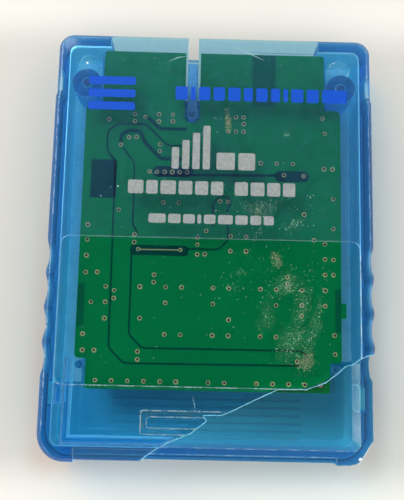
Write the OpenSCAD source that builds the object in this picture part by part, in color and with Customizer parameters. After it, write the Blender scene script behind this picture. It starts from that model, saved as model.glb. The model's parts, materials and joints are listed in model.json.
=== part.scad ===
// Memory card for a games console: a clear-tinted shell in two halves round a circuit board.
// The card lies on its back with the label side up. X runs across it, +Y points to the
// connector end, and every value called _y is counted from the finger end of the card.

/* [Overall size] */
// Width across the grip
card_w = 42; // [41:0.5:46]
// Length from the finger end to the connector end
card_l = 55.5; // [54.5:0.5:60]
// Thickness from the back face to the front face
card_t = 7.8; // [7.6:0.1:9]
// Height of the joint line between the two halves
seam_z = 6; // [5.8:0.1:6.2]
// Corner radius at the finger end
grip_corner_r = 3.5; // [2.5:0.25:5]
// Corner radius at the connector end
nose_corner_r = 2; // [1:0.25:3]
// How much the part that goes into the console steps in on each side
nose_step = 0.15; // [0.05:0.05:0.3]
// Length of the part that goes into the console
nose_l = 8.5; // [7:0.5:10]

/* [Shell walls] */
// Thickness of the back shell's floor
floor_t = 1.2; // [0.8:0.1:1.4]
// Thickness of the front shell's plate
plate_t = 1.2; // [0.8:0.1:1.3]
// Thickness of the long side walls
side_wall = 1.55; // [1.2:0.05:1.8]
// Thickness of the wall at the connector end
nose_wall = 1.35; // [1:0.05:1.6]
// Thickness of the wall at the finger end
grip_wall = 1.85; // [1.4:0.05:2.2]
// Radius of the rounded outer edge on both faces
edge_r = 0.6; // [0.3:0.1:0.8]

/* [Side grips] */
// Number of scallops on each side
scallop_count = 4; // [2:1:4]
// Distance from one scallop to the next
scallop_pitch = 4.38; // [4:0.1:4.6]
// Depth of a scallop
scallop_depth = 0.48; // [0.2:0.04:0.6]
// Place of the scallop nearest the finger end
scallop_y = 12.4; // [11:0.2:13]

/* [Front face] */
// Distance from the card's side to the shallow label recess
label_side = 1.85; // [1.75:0.05:4]
// Length of the label recess
label_l = 18.7; // [15:0.5:20]
// Place of the label recess's lower edge
label_y = 9.4; // [9:0.2:11]
// Depth of the label recess
label_depth = 0.2; // [0.1:0.05:0.3]
// Corner radius of the label recess
label_r = 1; // [0.5:0.1:2]
// Distance from the card's side to the lowered strip at the finger end
strip_side = 4.65; // [4:0.05:7]
// Length of the lowered strip
strip_l = 1.7; // [1.2:0.1:1.8]
// How far the strip lies below the front face
strip_drop = 0.45; // [0.2:0.05:0.6]
// How far the strip's end stands back from the finger end
strip_back = 0.25; // [0.1:0.05:0.4]
// Width of the notch in the plate over the key rib
key_notch_w = 1.35; // [1:0.05:1.6]
// Length of that notch
key_notch_l = 3.3; // [2.5:0.1:3.5]

/* [Connector mouth] */
// Distance from a side wall's inner face to the open mouth under the board's tongue
mouth_side = 5.45; // [5.2:0.05:6.4]
// Depth of the mouth from the connector end
mouth_l = 8; // [7:0.25:8.5]
// Thickness of the wall that closes the mouth's inner end
mouth_wall = 1.2; // [0.8:0.1:1.4]
// Thickness of the wall beside the mouth
mouth_cheek = 1.3; // [1.1:0.1:1.6]
// Place of the key rib across the card, from its centre line
key_x = -2.85; // [-4:0.05:-2]
// Thickness of the key rib
key_rib_w = 1.3; // [1:0.1:1.5]
// Distance from the connector end to the key rib's free end
key_rib_back = 3.5; // [3.4:0.1:4]

/* [Bosses and catches] */
// Outer diameter of a joining boss
boss_d = 4; // [3.4:0.1:4]
// Diameter of the hole in a boss
boss_hole_d = 1.3; // [1.1:0.1:1.8]
// Distance from the connector end to the boss
boss_back = 6.5; // [5:0.1:7]
// Gap between a boss and the side wall
boss_gap = 0.45; // [0.3:0.05:0.6]
// Length of the pin that enters a boss
pin_l = 1.6; // [1:0.1:2.5]
// Diameter of the ejector disc under the plate
disc_d = 2.8; // [2:0.1:3]
// Distance from the connector end to the ejector disc
disc_back = 4.1; // [3.6:0.1:4.4]
// Length of the latch notch in each side
latch_l = 2.9; // [2:0.1:3.5]
// Distance from the connector end to the latch notch
latch_back = 4.7; // [3.5:0.1:5]
// Depth of the latch notch
latch_depth = 0.55; // [0.3:0.05:0.8]
// Length of the catch pocket in each side wall
catch_l = 3.4; // [2.6:0.1:4]
// Place of the catch pocket
catch_y = 6.5; // [5.5:0.1:7]
// Depth of the catch pocket
catch_depth = 0.6; // [0.4:0.05:0.7]

/* [Finger ridges] */
// Number of fine grooves on the back face
groove_count = 6; // [3:1:7]
// Distance from one groove to the next
groove_pitch = 1; // [0.8:0.05:1.1]
// Distance from the card's side to the grooved area
groove_side = 8.3; // [6:0.1:11]
// Width of one groove
groove_gap = 0.3; // [0.2:0.05:0.4]
// Depth of one groove
groove_depth = 0.25; // [0.15:0.05:0.4]
// Place of the groove nearest the finger end
groove_y = 2.3; // [2.2:0.1:3]

/* [Circuit board] */
// Thickness of the board
board_t = 1; // [0.8:0.1:1.2]
// Depth of the board's upper face below the joint line
board_sink = 0.4; // [0.3:0.05:0.5]
// Gap between the board's long edge and the side wall
board_side_gap = 2.35; // [2:0.05:2.6]
// Place of the board's lower edge
board_y = 8.8; // [8.8:0.1:9.6]
// Distance from the connector end to the tip of the tongue
tongue_back = 1.55; // [1.4:0.05:1.8]
// Distance from the connector end to the board's shoulders
shoulder_back = 9.3; // [9:0.1:10]
// How far the tongue reaches past the mouth on each side
tongue_lap = 0.9; // [0.5:0.05:1]
// Width of the step at each lower corner of the board
foot_step = 1.5; // [1:0.1:2]
// Length of that step
foot_l = 3.8; // [3:0.1:4.5]
// Gap between the key rib and the slot's sides
slot_gap = 0.35; // [0.2:0.05:0.5]
// Distance from the connector end to the slot's round end
slot_back = 11.45; // [11:0.05:12]
// Width of the break-off stub that stands out of the right edge
stub_w = 0.65; // [0.3:0.05:1]
// Length of the stub
stub_l = 2; // [1.5:0.1:3]
// Place of the stub
stub_y = 18.3; // [17:0.1:19]

/* [Contacts] */
// Distance from the mouth's right side to the last contact
contact_side = 0.6; // [0.4:0.05:0.8]
// Width of one contact
contact_w = 2.2; // [1.8:0.1:2.3]
// Length of one contact
contact_l = 5.2; // [4.5:0.1:5.6]
// Thickness of one contact
contact_t = 0.08; // [0.05:0.01:0.15]

/* [Chips] */
// Side of the square controller
controller_w = 12; // [10:0.5:12]
// Pins on each side of the controller
controller_pins = 16; // [8:1:16]
// Distance from pin to pin on the controller
controller_pitch = 0.65; // [0.6:0.05:0.7]
// Share of the chips' spare length that stays free above the controller
controller_share = 0.35; // [0.25:0.01:0.4]
// Body length of the memory chip, across the card
memory_w = 18.4; // [17:0.1:19]
// Body width of the memory chip, along the card
memory_l = 12; // [11:0.5:12.5]
// Pins at each end of the memory chip
memory_pins = 24; // [12:1:24]
// Distance from pin to pin on the memory chip
memory_pitch = 0.48; // [0.45:0.01:0.5]
// Share of that spare length that stays free below the memory chip
memory_share = 0.31; // [0.25:0.01:0.4]
// Thickness of the chip bodies
chip_t = 1.4; // [1:0.1:1.6]
// Gap between a chip body and the board
chip_lift = 0.1; // [0.05:0.05:0.2]
// Length by which a pin stands out from the chip body
pin_out_l = 1; // [0.8:0.1:1.1]
// Thickness of a pin
pin_t = 0.15; // [0.1:0.01:0.2]
// Width of a pin
pin_w = 0.25; // [0.2:0.01:0.3]

/* [Small parts] */
// Length of a small capacitor or resistor
small_l = 1.6; // [1.2:0.1:1.8]
// Width of a small capacitor or resistor
small_w = 0.8; // [0.6:0.1:0.9]
// Height of a capacitor
capacitor_t = 0.8; // [0.6:0.1:1]
// Height of a resistor
resistor_t = 0.45; // [0.35:0.05:0.6]
// Length of the crystal's can
crystal_l = 5; // [4.5:0.1:5.2]
// Width of the crystal's can
crystal_w = 3.2; // [2.5:0.1:3.2]
// Height of the crystal
crystal_t = 1.2; // [1:0.1:1.6]

/* [Wear] */
// How far the worn corner reaches along the finger end
worn_run = 1.98; // [1.6:0.02:2.2]
// How far the worn corner reaches up the right side
worn_rise = 3.13; // [2.6:0.01:3.3]

/* [Hidden] */
$fn = 64;

// Spare length that lets a cut run past a face
eps = 0.5;
half_w = card_w / 2;
inner_half_w = half_w - side_wall;
plate_under_z = card_t - plate_t;
label_w = card_w - 2 * label_side;
strip_w = card_w - 2 * strip_side;
groove_w = card_w - 2 * groove_side;
mouth_w = 2 * (inner_half_w - mouth_side);
board_top_z = seam_z - board_sink;
board_under_z = board_top_z - board_t;
board_half_w = inner_half_w - board_side_gap;
tongue_half_w = mouth_w / 2 + tongue_lap;
tongue_end_y = card_l - tongue_back;
shoulder_y = card_l - shoulder_back;
slot_w = key_rib_w + 2 * slot_gap;
slot_end_y = card_l - slot_back;
mouth_y = card_l - mouth_l;
boss_x = inner_half_w - boss_gap - boss_d / 2;
boss_y = card_l - boss_back;
// Clearance between a piece of one half and the space for it in the other
fit_gap = 0.1;

// Corner radius of the inner room
room_r = 1;
// Rim that reaches down over the step at the finger end
lip_y = 0.94;
lip_drop = 0.5;
// Height from which the finger recess and the worn corner start
recess_z = 2.2;
worn_z = 1.8;
strip_edge_r = 0.35;
// Room below a pin in its boss
pin_room = 0.6;
// Catch pocket and the hook that enters it
catch_margin = 0.4;
catch_r = 0.8;
hook_t = 0.9;
hook_in = 0.4;
barb_h = 1;
// Ejector disc's place from the side wall, and its depth in the plate
disc_in = 2.75;
disc_h = 0.15;
// Contacts left and right of the key rib, and their even spacing
left_count = 3;
right_count = 5;
contact_pitch =
  (mouth_w / 2 - key_x - key_rib_w / 2 - 2 * contact_side - contact_w) / (right_count - 1);
// Distance from the tongue's tip to the contacts
contact_in = 0.6;

// Rail under the plate that steers it into the tray at the finger end
rail_t = 0.8;
rail_drop = 2.6;
rail_in = 1.25;
rail_end_y = 12.6;
rail_gap = 0.2;

// Supports and locating pegs for the board's lower corners
post_d = 2.2;
post_x = board_half_w - foot_step - post_d / 2 - 0.7;
post_y = board_y + post_d / 2 + 0.5;
peg_d = 1;
peg_rise = 0.5;
peg_x = board_half_w - foot_step + peg_d / 2 + 0.3;
peg_y = board_y + foot_l - peg_d / 2 - 0.3;

// Broken line of the front shell, from the right side round to the finger end
break_line = [
  [20.5, 13.8], [19.3, 13.35], [18.1, 12.5], [17.3, 12.3], [16.2, 11.35], [14.7, 10.2],
  [12.3, 9.35], [8.7, 9.25], [5.8, 7.9], [3, 6.5], [1.8, 6], [-0.5, 5.95], [-0.05, 5.25],
  [-2, 3.75], [-4.1, 2.85], [-5.5, 2.2], [-6.7, 1.45], [-7.9, 0.55]
];

// The chips stand between the posts and the mouth, and share out the length that is spare
room_low_y = post_y + post_d / 2;
room_high_y = mouth_y - mouth_wall;
controller_reach = controller_w / 2 + pin_out_l;
spare_l = room_high_y - room_low_y - memory_l - 2 * controller_reach;
memory_y = room_low_y + memory_share * spare_l + memory_l / 2;
controller_y = room_high_y - controller_share * spare_l - controller_reach;
between_y = (memory_y + memory_l / 2 + controller_y - controller_reach) / 2;
// Distance from a chip's face to the mark of its first pin
mark_in = 1.2;

// Places of the small parts on the board's underside, as [x, y, turned by]
beside_x = controller_reach + 1.6;
outer_x = board_half_w - 4.6;
capacitor_places = [
  [-beside_x, controller_y + 4.8, 90], [-beside_x, controller_y + 1.8, 90],
  [-beside_x, controller_y - 4.7, 90], [beside_x, controller_y - 5.2, 90],
  [-controller_w / 2 + 1, between_y, 0], [controller_w / 2 - 1, between_y, 0]
];
resistor_places = [
  [-outer_x, between_y, 0], [-outer_x, controller_y - 6, 0],
  [outer_x, between_y, 0], [outer_x, controller_y - 6, 0]
];
crystal_place = [-board_half_w + 2.8, controller_y];
bulk_place = [outer_x, controller_y + 3.8];
reset_place = [outer_x, controller_y - 2.7];

// Moves what it holds from the finger end's zero to the card's centre
module on_card() {
  translate([0, -card_l / 2, 0]) children();
}

// Copies a piece to the left and the right side
module both_sides() {
  children();
  mirror([1, 0, 0]) children();
}

// Flat rectangle with a radius of its own at each end
module rounded_plan(w, l, low_r, high_r) {
  translate([-w / 2, low_r]) square([w, l - low_r - high_r]);
  translate([-w / 2 + low_r, 0]) square([w - 2 * low_r, low_r]);
  translate([-w / 2 + high_r, l - high_r]) square([w - 2 * high_r, high_r]);
  for (side = [-1, 1]) {
    translate([side * (w / 2 - low_r), low_r]) circle(r = low_r);
    translate([side * (w / 2 - high_r), l - high_r]) circle(r = high_r);
  }
}

// Flat rectangle from its lower left corner, with one radius all round
module rounded_patch(x, y, w, l, r) {
  translate([x + w / 2, y]) rounded_plan(w, l, r, r);
}

// Outline of the card seen from above, with its scallops
module card_plan() {
  chord = scallop_pitch - 0.2;
  scallop_r = (pow(chord / 2, 2) + pow(scallop_depth, 2)) / (2 * scallop_depth);
  difference() {
    union() {
      intersection() {
        rounded_plan(card_w, card_l, grip_corner_r, nose_corner_r);
        translate([-half_w, 0]) square([card_w, card_l - nose_l]);
      }
      rounded_plan(card_w - 2 * nose_step, card_l, grip_corner_r, nose_corner_r);
    }
    both_sides()
      for (i = [0 : scallop_count - 1])
        translate([half_w - scallop_depth + scallop_r, scallop_y + i * scallop_pitch])
          circle(r = scallop_r, $fn = 128);
  }
}

// Inner room of the shell seen from above
module room_plan() {
  translate([0, grip_wall])
    rounded_plan(2 * inner_half_w, card_l - grip_wall - nose_wall, room_r, room_r);
}

// What a rounded edge takes away, for a face along the x axis and a side along the y axis
module edge_profile(r) {
  difference() {
    translate([-r, -eps]) square([r + eps, r + eps]);
    translate([-r, r]) circle(r = r);
  }
}

// Straight rounded edge along +Y, with the body on its left and the face at z = 0
module straight_edge(r, l) {
  translate([0, l, 0]) rotate([90, 0, 0]) linear_extrude(l) mirror([0, 1]) edge_profile(r);
}

// Rounded edge round a quarter of a corner
module corner_edge(r, corner_r) {
  rotate_extrude(angle = 90) translate([corner_r, 0]) mirror([0, 1]) edge_profile(r);
}

// Everything that the rounded outer edge takes away, for a face at z = 0 with the body below
module edge_cut(r) {
  nose_half_w = half_w - nose_step;
  both_sides() {
    translate([half_w, grip_corner_r, 0])
      straight_edge(r, card_l - nose_l - grip_corner_r);
    translate([nose_half_w, card_l - nose_l, 0])
      straight_edge(r, nose_l - nose_corner_r);
    translate([half_w - grip_corner_r, grip_corner_r, 0])
      rotate(-90) corner_edge(r, grip_corner_r);
    translate([nose_half_w - nose_corner_r, card_l - nose_corner_r, 0])
      corner_edge(r, nose_corner_r);
  }
  translate([nose_half_w - nose_corner_r, card_l, 0])
    rotate(90) straight_edge(r, 2 * (nose_half_w - nose_corner_r));
  translate([-half_w + grip_corner_r, 0, 0])
    rotate(-90) straight_edge(r, card_w - 2 * grip_corner_r);
}

// Room for whatever goes into the connector end, from low_z to high_z
module mouth_cut(low_z, high_z) {
  translate([-mouth_w / 2, mouth_y, low_z])
    cube([mouth_w, mouth_l + eps, high_z - low_z]);
}

// Side walls, end walls and floor of the tray
module tray_walls() {
  difference() {
    linear_extrude(seam_z) card_plan();
    mirror([0, 0, 1]) edge_cut(edge_r);
    translate([0, 0, floor_t]) linear_extrude(card_t) room_plan();
  }
}

// Ribs and cheeks round the mouth, which carry the board's tongue
module mouth_frame() {
  frame_w = mouth_w + 2 * mouth_cheek;
  difference() {
    translate([-frame_w / 2, mouth_y - mouth_wall, floor_t - eps])
      cube([frame_w, mouth_l + mouth_wall - nose_wall + eps, board_under_z - floor_t + eps]);
    mouth_cut(0, card_t);
  }
}

// Rib that stands in the board's slot and keeps a card from going in the wrong way round
module key_rib() {
  round_y = slot_end_y + slot_w / 2;
  rib_top_z = plate_under_z - fit_gap;
  translate([key_x - key_rib_w / 2, round_y, 0])
    cube([key_rib_w, card_l - key_rib_back - round_y, rib_top_z]);
  translate([key_x, round_y, 0]) cylinder(d = key_rib_w, h = rib_top_z);
}

// Hollow boss for a pin of the front shell
module boss() {
  boss_top_z = plate_under_z - fit_gap;
  difference() {
    cylinder(d = boss_d, h = boss_top_z);
    translate([0, 0, boss_top_z - pin_l - pin_room])
      cylinder(d = boss_hole_d, h = pin_l + pin_room + eps);
  }
}

// Rounded pocket in the inner face of the right wall, for a catch of the front shell
module catch_pocket() {
  pocket_h = seam_z - floor_t - 2 * catch_margin;
  translate([inner_half_w - eps, catch_y, floor_t + catch_margin])
    rotate([90, 0, 90])
      linear_extrude(catch_depth + eps)
        rounded_patch(0, 0, catch_l, pocket_h, catch_r);
}

// Step along the finger end that the lip of the front shell fills
module lip_step(spare) {
  translate([-strip_w / 2 - spare, -eps, seam_z - lip_drop - spare])
    cube([strip_w + 2 * spare, lip_y + spare + eps, lip_drop + spare + eps]);
}

module back_shell() {
  color("deepskyblue", 0.6)
    on_card() {
      difference() {
        union() {
          difference() {
            tray_walls();
            mouth_cut(-eps, card_t);
          }
          mouth_frame();
          both_sides() {
            translate([post_x, post_y, floor_t - eps])
              cylinder(d = post_d, h = board_under_z - floor_t + eps);
            translate([peg_x, peg_y, floor_t - eps])
              cylinder(d = peg_d, h = board_top_z + peg_rise - floor_t + eps);
          }
          difference() {
            key_rib();
            translate([key_x - key_rib_w, 0, -eps])
              cube([2 * key_rib_w, mouth_y, floor_t / 2 + eps]);
          }
        }
        both_sides() {
          translate([half_w - nose_step - latch_depth, card_l - latch_back - latch_l, -eps])
            cube([latch_depth + nose_step + eps, latch_l, seam_z + 2 * eps]);
          catch_pocket();
        }
        lip_step(0);
        translate([-strip_w / 2, -eps, recess_z])
          cube([strip_w, strip_back + eps, card_t]);
        for (i = [0 : groove_count - 1])
          translate([-groove_w / 2, groove_y + i * groove_pitch - groove_gap / 2, -eps])
            cube([groove_w, groove_gap, groove_depth + eps]);
        translate([0, 0, worn_z])
          linear_extrude(card_t)
            polygon([
              [half_w - worn_run, 0], [half_w, worn_rise], [half_w + eps, worn_rise],
              [half_w + eps, -eps], [half_w - worn_run, -eps]
            ]);
      }
      both_sides() translate([boss_x, boss_y, 0]) boss();
    }
}

// Rim and plate of the front shell, before its cuts
module lid_walls() {
  difference() {
    translate([0, 0, seam_z]) linear_extrude(card_t - seam_z) card_plan();
    translate([0, 0, card_t]) edge_cut(edge_r);
    translate([0, 0, seam_z - eps]) linear_extrude(plate_under_z - seam_z + eps) room_plan();
    mouth_cut(0, plate_under_z);
  }
}

// Rails under the plate at the finger end, with the left one's catch; the right one is lost
module lid_rails() {
  rail_x = inner_half_w - rail_in;
  rail_y = grip_wall + rail_gap;
  rail_z = plate_under_z - rail_drop;
  hook_x = inner_half_w - fit_gap;
  hook_z = floor_t + catch_margin + 2 * fit_gap;
  translate([-rail_x, rail_y, rail_z]) cube([rail_t, rail_end_y - rail_y, rail_drop + eps]);
  translate([-rail_x, rail_y, rail_z]) cube([2 * rail_x, rail_t, rail_drop + eps]);
  translate([-hook_x, catch_y + hook_in, hook_z])
    cube([hook_t, catch_l - 2 * hook_in, plate_under_z - hook_z + eps]);
  translate([-hook_x - catch_depth + fit_gap, catch_y + hook_in, hook_z])
    cube([hook_t, catch_l - 2 * hook_in, barb_h]);
}

// Shape of the corner that has broken off, seen from above
module broken_corner() {
  polygon(concat(
    [[half_w + eps, 14]],
    break_line,
    [[-8.6, 0], [-8.8, -eps], [half_w + eps, -eps]]
  ));
}

module front_shell() {
  color("dodgerblue", 0.6)
    on_card()
      difference() {
        union() {
          lid_walls();
          lid_rails();
          intersection() {
            lip_step(-fit_gap);
            translate([-half_w, strip_back, 0]) cube([card_w, lip_y - strip_back, card_t]);
          }
          both_sides()
            translate([boss_x, boss_y, plate_under_z - fit_gap - pin_l])
              cylinder(d = boss_hole_d - 2 * fit_gap, h = pin_l + fit_gap + eps);
        }
        translate([0, 0, card_t - label_depth])
          linear_extrude(label_depth + eps)
            rounded_patch(-label_w / 2, label_y, label_w, label_l, label_r);
        translate([-strip_w / 2, -eps, card_t - strip_drop])
          cube([strip_w, strip_l + eps, strip_drop + eps]);
        translate([-strip_w / 2, -eps, 0]) cube([strip_w, strip_back + eps, card_t + eps]);
        translate([-strip_w / 2, strip_back, card_t - strip_drop])
          rotate(-90) straight_edge(strip_edge_r, strip_w);
        translate([key_x - key_notch_w / 2, card_l - key_notch_l, seam_z - eps])
          cube([key_notch_w, key_notch_l + eps, card_t]);
        both_sides()
          translate([inner_half_w - disc_in, card_l - disc_back, plate_under_z - eps])
            cylinder(d = disc_d, h = disc_h + eps);
        translate([0, 0, floor_t]) linear_extrude(card_t) broken_corner();
      }
}

module circuit_board() {
  foot_half_w = board_half_w - foot_step;
  color("darkgreen")
    on_card()
      translate([0, 0, board_under_z])
        linear_extrude(board_t)
          difference() {
            union() {
              rounded_patch(-board_half_w, board_y + foot_l, 2 * board_half_w,
                shoulder_y - board_y - foot_l, 0.6);
              rounded_patch(-foot_half_w, board_y, 2 * foot_half_w, foot_l + 2, 0.3);
              rounded_patch(-tongue_half_w, shoulder_y - 2, 2 * tongue_half_w,
                tongue_end_y - shoulder_y + 2, 0.4);
              rounded_patch(board_half_w - eps, stub_y, stub_w + eps, stub_l, 0.25);
            }
            translate([key_x - slot_w / 2, slot_end_y + slot_w / 2]) square([slot_w, card_l]);
            translate([key_x, slot_end_y + slot_w / 2]) circle(d = slot_w);
          }
}

// One side of the mouth holds a group of contacts, spaced evenly about its middle
function group_middle(left) = left
  ? (key_x - key_rib_w / 2 - mouth_w / 2) / 2
  : (key_x + key_rib_w / 2 + mouth_w / 2) / 2;
function contact_x(i) = i < left_count
  ? group_middle(true) + (i - (left_count - 1) / 2) * contact_pitch
  : group_middle(false) + (i - left_count - (right_count - 1) / 2) * contact_pitch;

// Gold pad under the tongue, counted from the left
module contact(i) {
  color("gold")
    on_card()
      translate([contact_x(i) - contact_w / 2, tongue_end_y - contact_in - contact_l,
        board_under_z - contact_t])
        cube([contact_w, contact_l, contact_t]);
}

// Body of a chip that hangs under the board, with a small mark for its first pin
module chip_body(w, l) {
  translate([0, 0, -chip_lift - chip_t])
    difference() {
      linear_extrude(chip_t) rounded_patch(-w / 2, -l / 2, w, l, 0.3);
      translate([-w / 2 + mark_in, l / 2 - mark_in, -eps]) cylinder(d = 1, h = 0.1 + eps);
    }
}

// One bent pin, which leaves a body at u = 0 and stands on the board at z = 0
module bent_pin() {
  leave_z = -chip_lift - chip_t / 2 - pin_t / 2;
  rotate([90, 0, 0])
    translate([0, 0, -pin_w / 2])
      linear_extrude(pin_w)
        polygon([
          [0, leave_z], [0.35 * pin_out_l, leave_z], [0.5 * pin_out_l + pin_t, -pin_t],
          [pin_out_l, -pin_t], [pin_out_l, 0], [0.5 * pin_out_l, 0],
          [0.35 * pin_out_l - pin_t, leave_z + pin_t], [0, leave_z + pin_t]
        ]);
}

// Row of pins along one side of a body, offset from its middle
module pin_row(count, pitch, offset) {
  for (i = [0 : count - 1])
    translate([offset, (i - (count - 1) / 2) * pitch, 0]) bent_pin();
}

// Puts a part on the board's underside
module under_board(place) {
  on_card() translate([place[0], place[1], board_under_z]) children();
}

module controller_chip() {
  color("dimgray")
    under_board([0, controller_y])
      chip_body(controller_w, controller_w);
}

module controller_pins_set() {
  color("silver")
    under_board([0, controller_y])
      for (turn = [0 : 90 : 270])
        rotate(turn) pin_row(controller_pins, controller_pitch, controller_w / 2);
}

module memory_chip() {
  color("dimgray")
    under_board([0, memory_y])
      chip_body(memory_w, memory_l);
}

module memory_pins_set() {
  color("silver")
    under_board([0, memory_y])
      for (turn = [0, 180])
        rotate(turn) pin_row(memory_pins, memory_pitch, memory_w / 2);
}

module crystal() {
  color("lightgray")
    under_board(crystal_place) {
      translate([0, 0, -crystal_t / 3])
        linear_extrude(crystal_t / 3)
          rounded_patch(-crystal_w / 2, -crystal_l / 2, crystal_w, crystal_l, 0.2);
      translate([0, 0, -crystal_t])
        linear_extrude(crystal_t)
          rounded_patch(-crystal_w / 2 + 0.2, -crystal_l / 2 + 0.2, crystal_w - 0.4,
            crystal_l - 0.4, 0.5);
    }
}

module bulk_capacitor() {
  body = [3.5, 2.8, 1.9];
  foot = [0.8, 2.2, 0.1];
  color("orange")
    under_board(bulk_place) {
      difference() {
        translate([-body[0] / 2, -body[1] / 2, -body[2]]) cube([body[0], body[1], body[2] - foot[2]]);
        for (side = [-1, 1])
          translate([0, side * body[1] / 2, -body[2]])
            rotate([45, 0, 0]) cube([2 * body[0], 0.3, 0.3], center = true);
      }
      for (side = [-1, 1])
        translate([side * (body[0] - foot[0]) / 2, 0, -foot[2]])
          translate([-foot[0] / 2, -foot[1] / 2, 0]) cube(foot);
    }
}

module reset_chip() {
  body = [1.3, 2.9, 1];
  color("dimgray")
    under_board(reset_place) {
      translate([-body[0] / 2, -body[1] / 2, -body[2] - chip_lift]) cube(body);
      for (leg = [[-1, -0.95], [-1, 0.95], [1, 0]])
        translate([leg[0] * 0.9, leg[1], -0.3]) translate([-0.3, -0.2, 0]) cube([0.6, 0.4, 0.3]);
    }
}

// Two-ended chip part: a body with a metal cap at each end, standing slightly proud
module small_part(place, h) {
  cap_l = small_l / 5;
  proud = 0.04;
  under_board(place)
    rotate(place[2]) {
      translate([-small_l / 2, -small_w / 2 + proud, -h + proud])
        cube([small_l, small_w - 2 * proud, h - proud]);
      for (x = [-small_l / 2, small_l / 2 - cap_l])
        translate([x, -small_w / 2, -h]) cube([cap_l, small_w, h]);
    }
}

module capacitor(i) {
  color("tan") small_part(capacitor_places[i], capacitor_t);
}

module resistor(i) {
  color("black") small_part(resistor_places[i], resistor_t);
}

back_shell();
front_shell();
circuit_board();
controller_chip();
controller_pins_set();
memory_chip();
memory_pins_set();
crystal();
bulk_capacitor();
reset_chip();
for (i = [0 : left_count + right_count - 1])
  contact(i);
for (i = [0 : len(capacitor_places) - 1])
  capacitor(i);
for (i = [0 : len(resistor_places) - 1])
  resistor(i);
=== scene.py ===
"""Looks of a clear blue memory card with a green circuit board and a broken front shell.

Every size is in metres. Places on the card are written in millimetres, x from the middle of the
card and y from its finger end, and at() turns them into the frame's metres.
"""

import json
import logging
import math
import random
from collections.abc import Iterable
from dataclasses import dataclass
from enum import Enum

import bmesh
import bpy
from mathutils import Matrix, Vector

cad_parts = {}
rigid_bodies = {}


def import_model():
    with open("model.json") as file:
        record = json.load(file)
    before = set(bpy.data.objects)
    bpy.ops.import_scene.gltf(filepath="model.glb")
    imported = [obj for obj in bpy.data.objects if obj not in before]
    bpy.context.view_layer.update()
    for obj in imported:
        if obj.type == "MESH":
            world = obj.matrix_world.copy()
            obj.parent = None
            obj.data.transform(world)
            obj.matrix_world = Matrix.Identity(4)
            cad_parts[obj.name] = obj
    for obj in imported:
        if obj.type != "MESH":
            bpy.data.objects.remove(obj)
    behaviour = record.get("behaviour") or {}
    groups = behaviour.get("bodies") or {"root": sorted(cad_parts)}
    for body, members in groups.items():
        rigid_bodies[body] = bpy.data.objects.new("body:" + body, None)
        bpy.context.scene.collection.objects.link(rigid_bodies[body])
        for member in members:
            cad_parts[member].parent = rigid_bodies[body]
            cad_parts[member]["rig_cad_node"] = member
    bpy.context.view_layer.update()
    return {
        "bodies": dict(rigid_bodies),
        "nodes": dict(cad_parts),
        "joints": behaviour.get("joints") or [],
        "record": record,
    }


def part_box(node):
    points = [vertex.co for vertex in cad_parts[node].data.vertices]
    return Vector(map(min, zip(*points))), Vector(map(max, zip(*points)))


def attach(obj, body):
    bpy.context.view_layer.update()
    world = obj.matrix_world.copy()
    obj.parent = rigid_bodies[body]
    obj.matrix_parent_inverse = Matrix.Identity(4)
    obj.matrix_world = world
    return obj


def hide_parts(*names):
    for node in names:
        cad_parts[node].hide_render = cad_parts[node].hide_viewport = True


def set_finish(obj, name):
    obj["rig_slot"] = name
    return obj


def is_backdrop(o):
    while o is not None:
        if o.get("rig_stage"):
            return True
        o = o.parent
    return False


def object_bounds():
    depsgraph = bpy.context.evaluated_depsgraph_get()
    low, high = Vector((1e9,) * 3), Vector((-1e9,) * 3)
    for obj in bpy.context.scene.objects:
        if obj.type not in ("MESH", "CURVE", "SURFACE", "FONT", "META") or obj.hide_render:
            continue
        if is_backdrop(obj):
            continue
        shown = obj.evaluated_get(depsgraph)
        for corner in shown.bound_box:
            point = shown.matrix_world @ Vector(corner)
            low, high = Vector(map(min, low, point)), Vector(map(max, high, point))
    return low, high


log = logging.getLogger("memory_card")

MM = 0.001
BODY = "root"
LABEL_END = 28.0
WALL_TOP_X = 19.3

Colour = tuple[float, float, float, float]
Point = tuple[float, float]
Bar = tuple[float, float, float, float, float]
Face = tuple[int, ...]
Socket = bpy.types.NodeSocket
Material = bpy.types.Material


def srgb(red: float, green: float, blue: float) -> Colour:
    """Turns a colour of 0 to 255 per channel into linear light.

    Args:
        red: Red, 0 to 255.
        green: Green, 0 to 255.
        blue: Blue, 0 to 255.

    Returns:
        The colour as linear red, green, blue and an alpha of 1.
    """
    def linear(value: float) -> float:
        """Gives one channel in linear light."""
        share = value / 255
        return share / 12.92 if share <= 0.04045 else ((share + 0.055) / 1.055) ** 2.4

    return (linear(red), linear(green), linear(blue), 1.0)


class Level(Enum):
    """Which face a flat detail lies on."""

    BOARD_TOP = "board top"
    PLATE_TOP = "plate top"
    RECESS = "label recess"
    TRAY_FLOOR = "tray floor"


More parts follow.
